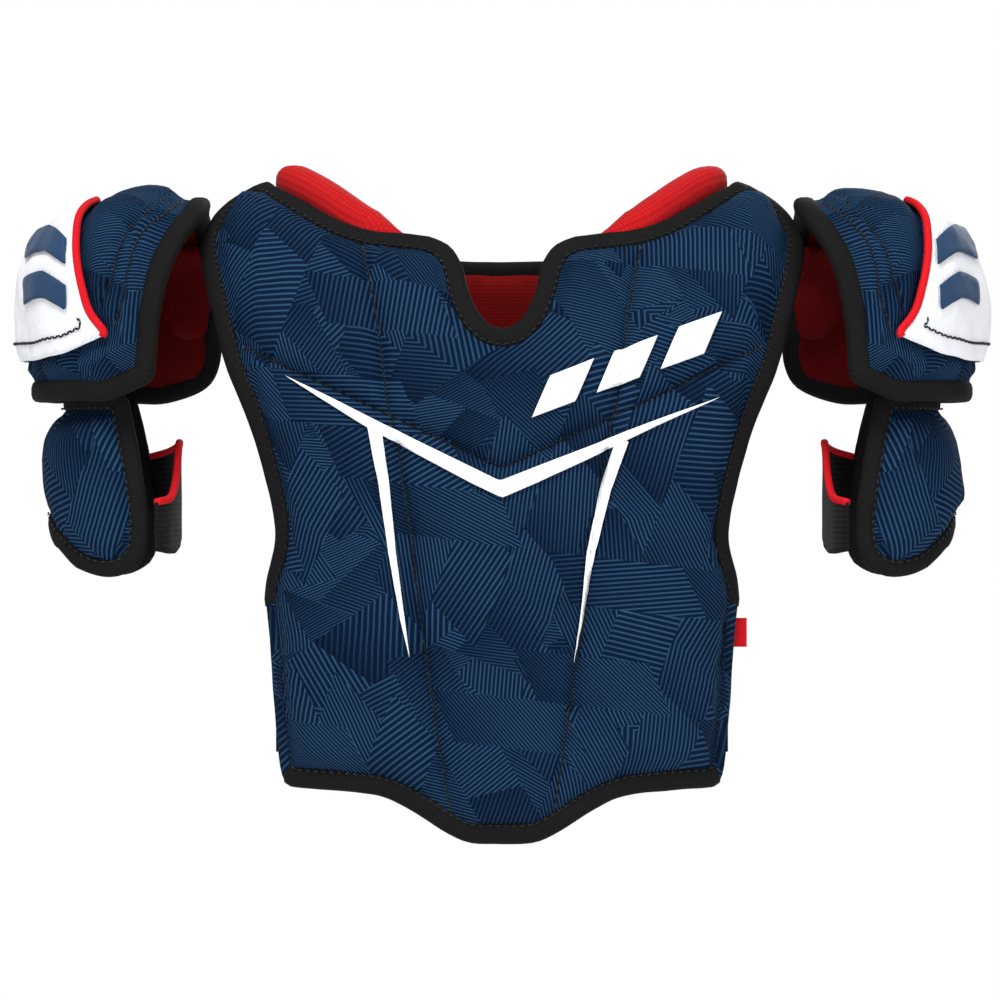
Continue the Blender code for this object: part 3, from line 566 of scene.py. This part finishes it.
def sweep(name, places, normals, wide, high, look, body, replaces=(), closed=False, sides=14):
    """A band of rounded section along a path. wide and high are half sizes, or one for each place."""
    count = len(places)
    widths, heights = np.broadcast_to(wide, count), np.broadcast_to(high, count)
    verts, uvs, run = [], [], 0.0
    for i, (place, normal) in enumerate(zip(places, normals)):
        before = places[i - 1] if closed or i else place
        after = places[(i + 1) % count] if closed or i < count - 1 else place
        across = (after - before).normalized().cross(normal).normalized()
        up = across.cross((after - before).normalized()).normalized()
        run += (place - places[i - 1]).length if i else 0.0
        for k in range(sides):
            turn = 2 * math.pi * k / sides
            c, s = (math.copysign(abs(f(turn)) ** 0.78, f(turn)) for f in (math.cos, math.sin))
            verts.append(place + across * (c * widths[i]) + up * (s * heights[i]))
            uvs.append((run, k / sides * 4 * widths[i]))
    faces = []
    for i in range(count if closed else count - 1):
        here, following = i * sides, (i + 1) % count * sides
        for k in range(sides):
            beside = (k + 1) % sides
            faces.append((here + k, here + beside, following + beside, following + k))
    if not closed:
        faces += [tuple(range(sides))[::-1], tuple((count - 1) * sides + k for k in range(sides))]
    made = piece(name, verts, faces, uvs, look, body, replaces)
    bm = bmesh.new()
    bm.from_mesh(made.data)
    bmesh.ops.recalc_face_normals(bm, faces=bm.faces)
    bm.to_mesh(made.data)
    bm.free()
    return made


def on(surface, path, depth):
    """Places and normals along a flat path at a depth, or at depth(path) for each point."""
    depths = depth(np.array([tuple(q) for q in path])) if callable(depth) else [depth] * len(path)
    return [surface.at(q.x, q.y, d) for q, d in zip(path, depths)], [surface.normal(q.x, q.y) for q in path]


def binding(
    name, path, surface, look, body, replaces=(), closed=True, half=TAPE_HALF, depth=TAPE_DEPTH
):
    """The tape or folded cloth round an edge, in a tube of slightly uneven width."""
    path = evenly(path, 0.0026, closed)
    places, normals = on(surface, path, depth)
    lumps = np.array([1 + 0.05 * noise.noise(place * 90) for place in places])
    return sweep(name, places, normals, half * lumps, 0.74 * half * lumps, look, body, replaces, closed)


def stitches(name, path, surface, depth, body, length=0.0026, pitch=0.0036, width=0.00050, zigzag=0.0):
    """A row of thread: one slim, raised stitch after another, or a zigzag when zigzag is its half-width."""
    path = evenly(path, pitch)
    places, normals = on(surface, path, depth)
    verts, faces, uvs = [], [], []
    for i, (a, b) in enumerate(zip(places, places[1:])):
        along, up = (b - a).normalized(), normals[i]
        side = along.cross(up).normalized()
        lean = side * (zigzag * (1 if i % 2 else -1))
        middle, reach = (a + b) / 2, along * (length / 2) + lean
        first = len(verts)
        wide, thick = side * width, up * width
        verts += [middle - reach, middle + wide, middle + thick]
        verts += [middle - wide, middle - thick, middle + reach]
        uvs += [(i * pitch, 0.0)] * 6
        for p, q in ((1, 2), (2, 3), (3, 4), (4, 1)):
            faces += [(first, first + q, first + p), (first + 5, first + p, first + q)]
    return piece(name, verts, faces, uvs, THREAD, body)


def sewn(name, line, surface, depth_of, outline, body):
    """A line of quilting inside an outline: a dark pulled-in line of thread, partly painted shade for the
    groove, and a raised stitch after every gap.
    """
    line = evenly([Vector(q) for q in line], 0.0015)
    kept = [q for q, ok in zip(line, inside([tuple(q) for q in line], outline)) if ok]
    places, normals = on(surface, kept, lambda spots: depth_of(spots) + 0.0001)
    # The unbroken dark line along the seam's bottom is partly thread and partly painted shade in the groove.
    sweep(f"{name}_line", places, normals, 0.00050, 0.00045, THREAD, body, sides=6)
    stitches(name, kept, surface, lambda spots: depth_of(spots) - 0.0004, body, width=0.00055)


def decal(name, outline, surface, depth_of, look, body, seams=()):
    """A printed shape, lying on a layer's face."""

    def raised(spots, to_edge):
        return depth_of(spots) - DECAL_LIFT

    cloth(name, outline, surface, raised, DECAL, look, body, step=0.0020, seams=seams)


def turned(surface, sign):
    """The left surface itself, or where sign is -1 its mirror image for the wearer's right."""
    return surface if sign > 0 else Mirrored(surface)


def opened(run):
    """Part of a closed outline, as a run that starts after its widest gap."""
    start = max(range(len(run)), key=lambda i: (run[i] - run[i - 1]).length)
    return run[start:] + run[:start]


# --- Chest ---
def chest_runs():
    """The left half of the chest's outline: its hem, its side, and the rest up to the neckline's middle."""
    hem = [(0, -282), (14, -281.5), (25, -277), (41, -267), (55, -261), (74, -259), (100, -258)]
    hem = through(hem, unit=MM)
    side = through([(100, -258), (103.5, -250), (106.5, -225), (109, -195), (111.5, -176)], unit=MM)
    armhole = [(111.5, -176), (110, -165), (105.5, -150), (105.5, -138), (109, -121), (116, -98)]
    armhole = through([*armhole, (125.5, -74), (131, -52), (136, -32), (139, -15)], unit=MM)
    corner = through([(139, -15), (133, -2), (125.5, 7)], unit=MM)
    seam = through([(125.5, 7), (108.5, 16.6)], unit=MM)
    neck = [(108.5, 16.6), (100, 13), (90, 7), (80, 1), (70, -4), (58, -7.5), (44, -9), (32, -10.5)]
    neck = through(neck, unit=MM)
    notch = [(32, -10.5), (23, -15), (17.5, -24), (15, -35), (10.5, -45.5), (5, -51.5), (0, -53)]
    notch = through(notch, unit=MM)
    return hem, side, [*armhole[:-1], *corner[:-1], *seam[:-1], *neck[:-1], *notch]


QUILT_LOW_Z, QUILT_SLOPE = -0.116, 0.47
UPRIGHT = [(62, -16), (57, -41), (53.5, -63), (51, -86), (46.5, -103), (44, -120), (39.5, -149)]
UPRIGHT += [(36.5, -180), (22.5, -270)]


def seen(panel, points):
    """Flat pattern points of places given in millimetres, as they look from in front or behind."""
    return [panel.pattern(q[0] * MM, q[1] * MM) for q in points]


def chest_seams():
    """The quilting: an upright line on each side, and a wide V across."""
    upright = evenly([Vector(q) for q in UPRIGHT], 4.0)
    vee = [(x, (QUILT_LOW_Z + QUILT_SLOPE * abs(x * MM)) / MM) for x in np.linspace(-116, 116, 60)]
    return [seen(CHEST, upright), seen(CHEST, flip(upright)), seen(CHEST, vee)]


def chest():
    """The chest panel: its face, lining, tape, quilting and white print."""
    hem, side, upper = chest_runs()
    half = [*hem[:-1], *side[:-1], *upper]
    outline = [CHEST.pattern(q.x, q.y) for q in mirrored(half)]
    seams = chest_seams()
    face = quilted(seams, 0.0058)
    core = inset(outline, TAPE_HALF)
    parts = ("left", "centre", "right")
    foams = [f"chest_foam_{level}_{part}" for level in ("upper", "lower") for part in parts]
    pad = cloth("chest_face", core, CHEST, face, COVER, PRINT, "chest",
                ["chest_cover", *foams, "sternum_plate"], seams=seams)
    # The lining's red is darkened as painted shade.
    cloth("chest_lining", core, CHEST, lining(PANEL_PAD), LINER, RED_LINING_PAINTED_SHADE, "chest",
          ["chest_liner"], MEDIUM)

    def flat(run):
        return [CHEST.pattern(q.x, q.y) for q in run]

    def edge(points):
        """The points of the taped line that are nearest to a stretch of the outline."""
        near = distances([tuple(q) for q in core], points, closed=False) < 1.25 * TAPE_HALF
        start = next(i for i in range(len(core)) if near[i] and not near[i - 1])
        kept = [*near[start:], *near[:start]]
        return [q for q, keep in zip(core[start:] + core[:start], kept) if keep]

    hem_line = [*reversed(flip(hem[1:])), *hem]
    upper_line = [*upper, *reversed(flip(upper[:-1]))]
    binding("chest_hem_binding", edge(flat(hem_line)), CHEST, TAPE, "chest", ["chest_binding"],
            closed=False)
    binding("chest_neck_binding", edge(flat(upper_line)), CHEST, TAPE, "chest", closed=False)
    for name, run in (("left", side), ("right", flip(side))):
        binding(f"chest_side_edge_{name}", edge(flat(run)), CHEST, PRINT, "chest",
                closed=False, half=0.0044)

    def on_face(spots):
        return face(spots, distances(spots, core)) - 0.0003

    for i, seam in enumerate(seams):
        sewn(f"chest_quilting_{i}", seam, CHEST, on_face, inset(outline, 2 * TAPE_HALF), "chest")
    row = inset(outline, PANEL_STITCHES)
    stitches("chest_edge_stitches", [*row, row[0]], CHEST, 0.0016, "chest")

    vee = [(-95, -75), (-75, -84.6), (-50.4, -97.2), (-1, -121.5), (43.6, -104), (54, -99.5), (94.5, -84.2)]
    vee += [(55, -103), (43.6, -109), (15, -122.5), (0, -129), (-13.5, -122.5), (-49.5, -103), (-59.4, -97.5)]
    leg_left = [(-58.5, -97.6), (-52.2, -101), (-49, -122.4), (-45.9, -154), (-41.8, -184), (-40, -200)]
    leg_left += [(-43.6, -184), (-49, -154), (-53.5, -122.4)]
    leg_right = [(48.6, -106), (55, -103.4), (47.3, -125), (40.5, -154), (37, -175), (31.5, -202)]
    leg_right += [(35, -175), (37, -154), (42.8, -125)]
    for name, shape in (("vee", vee), ("leg_left", leg_left), ("leg_right", leg_right)):
        decal(f"chest_print_{name}", seen(CHEST, shape), CHEST, on_face, INK_WHITE, "chest",
              seams)
    for i in range(3):
        x, z = 13 + 28 * i, -94 + 10.5 * i
        bar = [(x, z), (x + 19, z + 7), (x + 27, z + 25), (x + 8, z + 18)]
        decal(f"chest_print_bar_{i}", seen(CHEST, bar), CHEST, on_face, INK_WHITE, "chest",
              seams)


# --- Back ---
def back():
    """The back panel: its face with two upright lines and a shelf of quilting, its lining and its tape."""
    hem = through([(0, -266), (20, -265), (45, -259), (70, -256), (88, -256)], unit=MM)
    side = through([(88, -256), (92.5, -249), (95, -225), (97, -195), (98.5, -172)], unit=MM)
    armhole = [(98.5, -172), (95.5, -158), (96, -138), (101, -110), (110, -72), (118, -38), (121.5, -10)]
    armhole = through(armhole, unit=MM)
    corner = through([(121.5, -10), (122, -2), (118, 10)], unit=MM)
    seam = through([(118, 10), (104, 16.6)], unit=MM)
    neck = through([(104, 16.6), (96, 11), (84, 1), (68, -9), (48, -15.5), (24, -18), (0, -18.5)], unit=MM)
    half = [q for run in (hem, side, armhole, corner, seam) for q in run[:-1]] + neck
    outline = [BACK.pattern(q.x, q.y) for q in mirrored(half)]
    core = inset(outline, TAPE_HALF)
    line = evenly([Vector(q) for q in ((70, -14), (62, -60), (54, -120), (46, -190), (40, -262))], 4.0)
    shelf = [(x, -40 - 0.0009 * x * x) for x in np.linspace(-112, 112, 50)]
    seams = [seen(BACK, line), seen(BACK, flip(line)), seen(BACK, shelf)]
    face = quilted(seams, 0.0050, seed=21.0)

    def flattened(spots, to_edge):
        """The spine pad lies on the back, so the quilting stays low under it."""
        under = np.exp(-((np.maximum(np.abs(spots[:, 0]) - 0.026, 0) / 0.006) ** 2))
        return face(spots, to_edge) * (1 - under) + 0.0004 * under

    pad = cloth("back_face", core, BACK, flattened, COVER, PRINT, "back",
                ["back_cover", "back_foam_left", "back_foam_centre", "back_foam_right"], seams=seams)
    # The lining's red is darkened as painted shade.
    cloth("back_lining", core, BACK, lining(PANEL_PAD, 9.0), LINER, RED_LINING_PAINTED_SHADE, "back",
          ["back_liner"], MEDIUM)
    binding("back_edge_binding", core, BACK, TAPE, "back", ["back_binding"])
    row = inset(outline, PANEL_STITCHES)
    stitches("back_edge_stitches", [*row, row[0]], BACK, 0.0016, "back")

    def on_face(spots):
        return flattened(spots, distances(spots, core)) - 0.0003

    for i, seam in enumerate(seams):
        sewn(f"back_quilting_{i}", seam, BACK, on_face, inset(outline, 2 * TAPE_HALF), "back")


ROLL_RADIUS = 0.0076


def neck_rolls(side, sign):
    """The knit roll inside the neckline, which runs over the shoulder from the chest to the back."""
    route = [(40, -36, -16), (50, -36, -12), (62, -31, -6), (72, -24, 1), (82, -15, 8), (91, -6, 13)]
    route += [(95, 3, 14), (93, 11, 10), (86, 18.5, 2), (77, 25, -7), (66, 30, -14), (52, 34, -20)]
    path = [Vector((sign * q[0], q[1], q[2])) for q in through([Vector(q) * MM for q in route], 0.0018)]
    share = np.linspace(0, 1, len(path))
    radius = ROLL_RADIUS * np.minimum(1, 0.25 + 5 * np.minimum(share, 1 - share))
    radius = radius * np.array([1 + 0.05 * noise.noise(q * 70) for q in path])
    upwards = [Vector((0, 0, 1))] * len(path)
    made = sweep(f"neck_roll_{side}", path, upwards, radius, radius, RED, None,
                 [f"neck_pad_{side}", f"collar_pad_{side}"], sides=20)
    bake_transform(made)


# --- Shoulder caps ---
CAP_HEM_Z, PATCH_HEM_Z = -0.088, -0.0690  # the lowest point of a cap, and of the white patch on it
PIPING_END_Z = -0.0575  # the piping stops at the patch's front lower corner
ZIGZAG_TOP_Z = -0.048  # the zigzag runs round the patch below this height
PATCH_RISE, PIPING_RISE = 0.0034, 0.0030  # height of the patch and of its piping on the cap's outer surface
INNER_PAD_DEPTH, INNER_PAD = 0.0138, 0.0040  # depth of the pad inside the cap, and its thickness


def cap_outline():
    front = [(128, 7.4), (131.5, 0), (138.5, -11), (146, -26), (150.5, -40), (153.5, -54), (155.5, -68)]
    front += [(158, -80)]
    rear = [(150, -86), (137, -80), (130.5, -66), (130, -45), (130, -24), (130, -6), (131, 5)]
    down = [CAP.pattern(x * MM, z * MM, -1) for x, z in front]
    up = [CAP.pattern(x * MM, z * MM, 1) for x, z in rear]
    low = CAP.roll.arc_at(CAP_TOP_Z - CAP_HEM_Z)
    first, last = (math.atan2(q.y, q.x) for q in (down[-1], up[0]))
    turns = [first + (last - first) * t for t in np.linspace(0.10, 0.93, 9)]
    bottom = [Vector((math.cos(a), math.sin(a))) * low for a in turns]
    return joined(through([*down, *bottom, *up]), through([up[-1], down[0]]))


def patch_outline():
    """The white patch over the outer part of a cap, the same in front and behind."""
    front = [(181, 3.8), (186.5, -2), (187.5, -12), (187, -22), (184.5, -35), (181, -46), (173.5, -56)]
    low = [(174, -58), (182, -61.5), (193, -66), (201, -67.6)]
    edge = [CAP.pattern(x * MM, z * MM, -1) for x, z in front]
    hem = [CAP.pattern(x * MM, z * MM, -1) for x, z in low]
    low_r = CAP.roll.arc_at(CAP_TOP_Z - PATCH_HEM_Z)
    hem += [Vector((math.cos(a), math.sin(a))) * low_r for a in np.radians((-27, -18, -9, 0))]
    edge[0] = Vector((CAP.pattern(0.1805, 0.0040, -1).length, 0.0))  # its top corner is on the middle line
    front_edge, front_hem = through(edge), through(hem)
    rear_hem = [Vector((q.x, -q.y)) for q in reversed(front_hem)]
    rear_edge = [Vector((q.x, -q.y)) for q in reversed(front_edge)]
    return joined(front_edge, through([front_edge[-1], front_hem[0]]), front_hem, rear_hem,
                  through([rear_hem[-1], rear_edge[0]]), rear_edge)


def caps(side, sign):
    """A shoulder cap: face, lining, tape and flex lines, then the patch with its piping, inner pad."""
    surface, body = turned(CAP, sign), f"cap_{side}"
    outline = cap_outline()
    core = inset(outline, 0.0072)
    flex = []
    for rows in (
        [(151, 7), (158, -1), (166.5, -10), (171, -20), (174, -32), (178, -43)],
        [(144, 6.5), (151, -1), (158, -8), (163.5, -17), (166.5, -28), (168, -40), (172, -53)],
    ):
        front = through([CAP.pattern(x * MM, z * MM, -1) for x, z in rows])
        flex += [front, [Vector((q.x, -q.y)) for q in front]]
    swollen = quilted(flex, 0.0040, 0.0030, seed=31.0 + sign, under_tape=0.0060)
    patch = patch_outline()

    def face(spots, to_edge):
        """Swollen where it shows, and pressed down under the hard shell and its patch."""
        near = np.where(inside(spots, patch), 0.0, distances(spots, patch))
        share = np.clip(near / 0.008, 0, 1) ** 0.8
        return share * swollen(spots, to_edge) + (1 - share) * np.maximum(swollen(spots, to_edge), 0.0006)

    pad = cloth(f"cap_face_{side}", core, surface, face, COVER, PRINT, body,
                [f"cap_cover_{side}", f"cap_foam_{side}"], seams=flex)
    # The cap lining's dark red is painted shade.
    cloth(f"cap_lining_{side}", core, surface, lining(CAP_PAD), LINER, RED_SHADED, body,
          [f"cap_liner_{side}"], MEDIUM)
    binding(f"cap_edge_binding_{side}", core, surface, TAPE, body, [f"cap_binding_{side}"])

    def on_face(spots):
        return face(spots, distances(spots, core)) - 0.0003

    for i, line in enumerate(flex):
        sewn(f"cap_flex_{side}_{i}", line, surface, on_face, core, body)

    puffed = quilted([], 0.0020, seed=41.0 + sign, sink=0.0, under_tape=0.0)

    def high(spots, to_edge):
        return puffed(spots, to_edge) - PATCH_RISE

    top = inset(patch, 0.0016)
    cloth(f"cap_patch_cloth_{side}", top, surface, high, LINER, WHITE, body,
          [f"cap_patch_{side}"])
    ring = evenly(inset(patch, 0.0015), 0.002, closed=True)
    front = opened([q for q in ring if q.y < 0 and surface.at(q.x, q.y).z > PIPING_END_Z])
    rear = [Vector((q.x, -q.y)) for q in front]
    for name, line, stands_for in (("front", front, [f"cap_piping_{side}"]), ("rear", rear, [])):
        places, normals = on(surface, line, -PIPING_RISE)
        sweep(f"cap_piping_{name}_{side}", places, normals, CORD_RADIUS, CORD_RADIUS, PIPING, body,
              stands_for)

    def on_patch(spots):
        return high(spots, distances(spots, top)) - 0.0004

    row = opened([q for q in inset(patch, 0.0095) if surface.at(q.x, q.y).z < ZIGZAG_TOP_Z])
    stitches(f"cap_zigzag_{side}", row, surface, on_patch, body, length=0.0030, pitch=0.0026, zigzag=0.0007,
             width=0.0007)
    for i in range(2):
        z = -10 - 19 * i
        bar = [(191, z - 6), (200, z), (209, z - 3), (209, z - 14), (200, z - 11), (191, z - 17)]
        shape = evenly([CAP.pattern(x * MM, zz * MM, -1) for x, zz in bar], 0.003, closed=True)
        decal(f"cap_print_{side}_{i}", shape, surface, on_patch, INK_NAVY, body)

    flap = [(133, -6), (146, -3), (160, -6), (166, -22), (163, -42), (152, -56), (140, -58), (134, -48)]
    shape = through([*(CAP.pattern(x * MM, z * MM, 1) for x, z in flap), CAP.pattern(0.133, -0.006, 1)])[:-1]
    crowned = quilted([], -0.0010, seed=51.0, sink=0.0, under_tape=0.0)
    # The inner pad's dark red is painted shade.
    made = cloth(f"cap_inner_pad_{side}", shape, surface, crowned, INNER_PAD, RED_SHADED, body,
                 [f"cap_flap_{side}"], MEDIUM)
    centre = Vector((sign * CAP_CENTRE_X, 0, CAP_TOP_Z - CAP_DROP))
    for vertex in made.data.vertices:
        vertex.co -= (vertex.co - centre).normalized() * INNER_PAD_DEPTH


# --- Arm guards ---
def guard_outline():
    low = [(84, -81), (92, -98), (99, -122), (102, -143), (97, -158), (80, -165), (56, -163), (28, -152)]
    low += [(0, -143), (-28, -152), (-56, -163), (-80, -165), (-97, -158), (-102, -143), (-99, -122)]
    low += [(-92, -98), (-84, -81)]
    low = [GUARD.pattern(a, z * MM) for a, z in low]
    top = [GUARD.pattern(-84, GUARD_TOP_Z), GUARD.pattern(84, GUARD_TOP_Z)]
    return joined(through(low), through(top))


def guards(side, sign):
    """An arm guard: its padded face, lining, tape and stitches."""
    surface, body = turned(GUARD, sign), f"guard_{side}"
    outline = guard_outline()
    core = inset(outline, 0.0041)
    puffed = quilted([], 0.0032, seed=61.0 + sign, under_tape=0.0034)

    def face(spots, to_edge):
        """Padded, but flat at the top, where it swings inside the cap."""
        under_cap = np.exp(-(((GUARD_TOP_Z - spots[:, 1]) / 0.013) ** 2))
        return puffed(spots, to_edge) * (1 - under_cap) + 0.0034 * under_cap

    pad = cloth(f"guard_face_{side}", core, surface, face, COVER, PRINT, body,
                [f"guard_cover_{side}", f"guard_foam_{side}", f"guard_plate_{side}"])
    cloth(f"guard_lining_{side}", core, surface, lining(GUARD_PAD, 3.0), LINER, BLACK_LINER, body,
          [f"guard_liner_{side}"], MEDIUM)
    binding(f"guard_edge_binding_{side}", core, surface, TAPE, body, [f"guard_binding_{side}"],
            half=0.0044, depth=0.0046)
    row = inset(outline, GUARD_STITCHES)
    stitches(f"guard_stitches_{side}", [*row, row[0]], surface, 0.0012, body)


# --- Straps and label ---
ROOT_LENGTH, ROOT_LAP, ROOT_MARGIN = 0.012, 0.0015, 0.0004  # a side strap's sewn end, its lap and margin
TAB_HALF_WIDTH, TAB_HALF_THICKNESS, TAB_TUCK = 0.0042, 0.0007, 0.0022  # the tuck is inside the seam


def side_webbing(name, sign, x, start, end, margin, crease, body, replaces=()):
    """A flat upright piece of webbing that runs back along the body."""
    low, high = SIDE_STRAP_Z[0] - margin, SIDE_STRAP_Z[1] + margin
    surface = turned(Ribbon([Vector((x, y, 0)) for y in np.linspace(start, end, 5)]), sign)
    box = [Vector(q) for q in ((0, low), (end - start, low), (end - start, high), (0, high))]
    cloth(name, box, surface, lambda s, d: rumple(s, 90, crease, 4.0), STRAP + 2 * margin, ELASTIC, body,
          replaces, NARROW)


def straps(side, sign):
    """The elastic round the arm with its red edge, and the waist strap with its end sewn to the chest."""
    plan = [(153.4, -38.6), (148.5, -29), (146, -12), (146, 8), (147.5, 29), (153.5, 42), (165, 47.6)]
    plan += [(176, 47.8)]
    ribbon = Ribbon([Vector(q) * MM for q in plan])
    end = ribbon.length
    top = [(0, -0.131), (0.018, -0.127), (0.040, -0.108), (0.060, -0.104), (end - 0.006, -0.112), (end, -0.116)]
    low = [(end, -0.138), (end - 0.006, -0.142), (0.070, -0.146), (0.040, -0.150), (0.018, -0.154), (0, -0.153)]
    top, low = through(top), through(low)
    outline = joined(top, through([top[-1], low[0]]), low, through([low[-1], top[0]]))
    surface = turned(ribbon, sign)
    surface.side = -surface.side
    body = f"arm_strap_{side}"
    cloth(f"arm_strap_web_{side}", outline, surface, lambda s, d: rumple(s, 90, 0.0003, 2.0), STRAP, ELASTIC,
          body, [f"arm_strap_{side}"], NARROW)
    places, normals = on(surface, evenly(top, 0.002), STRAP / 2)
    sweep(f"arm_strap_edge_{side}", places, normals, CORD_RADIUS, CORD_RADIUS, PIPING, body,
          sides=10)

    outer_x, (root, tip) = SIDE_STRAP_X + STRAP, SIDE_STRAP_Y
    side_webbing(f"side_strap_web_{side}", sign, outer_x, root, tip, 0.0, 0.0003, f"side_strap_{side}",
                 [f"side_strap_{side}"])
    side_webbing(f"side_strap_root_{side}", sign, outer_x + ROOT_MARGIN, root - ROOT_LENGTH, root + ROOT_LAP,
                 ROOT_MARGIN, 0.0, "chest")


def label():
    """The folded tab in the side seam, sewn in past the edge that it shows at."""
    low, high = (Vector(corner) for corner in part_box("side_label"))
    middle = (low + high) / 2
    path = [Vector((middle.x - TAB_TUCK, middle.y, z)) for z in np.linspace(low.z, high.z, 8)]
    forwards = [Vector((0, -1, 0))] * len(path)
    sweep("side_label_tab", path, forwards, TAB_HALF_WIDTH, TAB_HALF_THICKNESS, PIPING, "chest",
          ["side_label"])


def carried_over():
    """Finishes for the CAD pieces that stay as they are."""
    looks = {"foam": FOAM, "plate": SHEET, "shell": SHEET, "hook": HOOK, "spine": SPINE}
    looks |= {"yoke": ELASTIC, "link": ELASTIC}
    for name, obj in frame["nodes"].items():
        for word, look in looks.items():
            if word in name:
                obj.material_slots[0].link = "DATA"
                obj.data.materials[0] = look


# --- Studio ---
FLOOR_Z, FLOOR_BACK, FLOOR_HALF = -0.60, 1.4, 4.0  # its height, its far edge, and its reach on other sides
FLOOR_GLOW = 0.30  # evens out the floor where the lamps don't reach
AMBIENT, BACKDROP = 0.42, 1.0  # how bright the world is as a light, and as the white behind the object
AIM = (0, 0, -0.1)  # the lamps point here
LAMPS = {  # place, size and power
    "key": ((-0.35, -1.1, 1.6), 0.8, 35),
    "fill": ((1.3, -1.4, 0.3), 1.0, 8),
    "front": ((-0.6, -2.0, -0.2), 1.2, 8),
    "behind": ((0.8, 2.0, 0.9), 1.2, 20),
}
EYE, FRAMED = (-0.0009, -2.42, -0.130), 0.450  # the camera's place, and the width that it frames
DISTANCE, SENSOR = 2.4, 36.0  # to the plane that is framed, and the sensor's width in millimetres


def floor():
    """A pale floor well below the object."""
    pale = bpy.data.materials.new("studio_pale")
    pale.use_nodes = True
    shader = pale.node_tree.nodes["Principled BSDF"]
    shader.inputs["Base Color"].default_value = (0.80, 0.80, 0.80, 1)
    shader.inputs["Roughness"].default_value = 0.9
    shader.inputs["Emission Color"].default_value = (1, 1, 1, 1)
    shader.inputs["Emission Strength"].default_value = FLOOR_GLOW
    data = bpy.data.meshes.new("studio_floor")
    left, right, near = -FLOOR_HALF, FLOOR_HALF, -FLOOR_HALF
    corners = [(left, near), (right, near), (right, FLOOR_BACK), (left, FLOOR_BACK)]
    data.from_pydata([(x, y, FLOOR_Z) for x, y in corners], [], [(0, 1, 2, 3)])
    data.materials.append(pale)
    made = bpy.data.objects.new("studio_floor", data)
    bpy.context.scene.collection.objects.link(made)


def world():
    """A white world, dimmer as a light than as the backdrop that the camera sees."""
    made = bpy.data.worlds.new("studio")
    made.use_nodes = True
    nodes, links = made.node_tree.nodes, made.node_tree.links
    nodes["Background"].inputs["Color"].default_value = (1, 1, 1, 1)
    rays = nodes.new("ShaderNodeLightPath")
    strength = nodes.new("ShaderNodeMath")
    strength.operation = "MULTIPLY_ADD"
    links.new(rays.outputs["Is Camera Ray"], strength.inputs[0])
    strength.inputs[1].default_value = BACKDROP - AMBIENT
    strength.inputs[2].default_value = AMBIENT
    links.new(strength.outputs[0], nodes["Background"].inputs["Strength"])
    bpy.context.scene.world = made


def lamps():
    """A broad soft key above the camera, a fill at the side, one low in front, and one behind."""
    for name, (place, size, power) in LAMPS.items():
        light = bpy.data.lights.new(name, "AREA")
        light.size, light.energy = size, power
        lamp = bpy.data.objects.new(name, light)
        lamp.location = place
        lamp.rotation_euler = (Vector(AIM) - Vector(place)).to_track_quat("-Z", "Y").to_euler()
        bpy.context.scene.collection.objects.link(lamp)


def camera():
    """A long lens, straight on."""
    data = bpy.data.cameras.new("camera")
    data.sensor_width = SENSOR
    data.lens = SENSOR * DISTANCE / FRAMED
    eye = bpy.data.objects.new("camera", data)
    eye.location = EYE
    eye.rotation_euler = (math.pi / 2, 0, 0)
    bpy.context.scene.collection.objects.link(eye)
    bpy.context.scene.camera = eye


bpy.context.scene.view_settings.view_transform = "Standard"
for make in (floor, world, lamps, camera, chest, back):
    make()
for make in (neck_rolls, caps, guards, straps):
    for side, sign in (("left", 1), ("right", -1)):
        make(side, sign)
label()
carried_over()
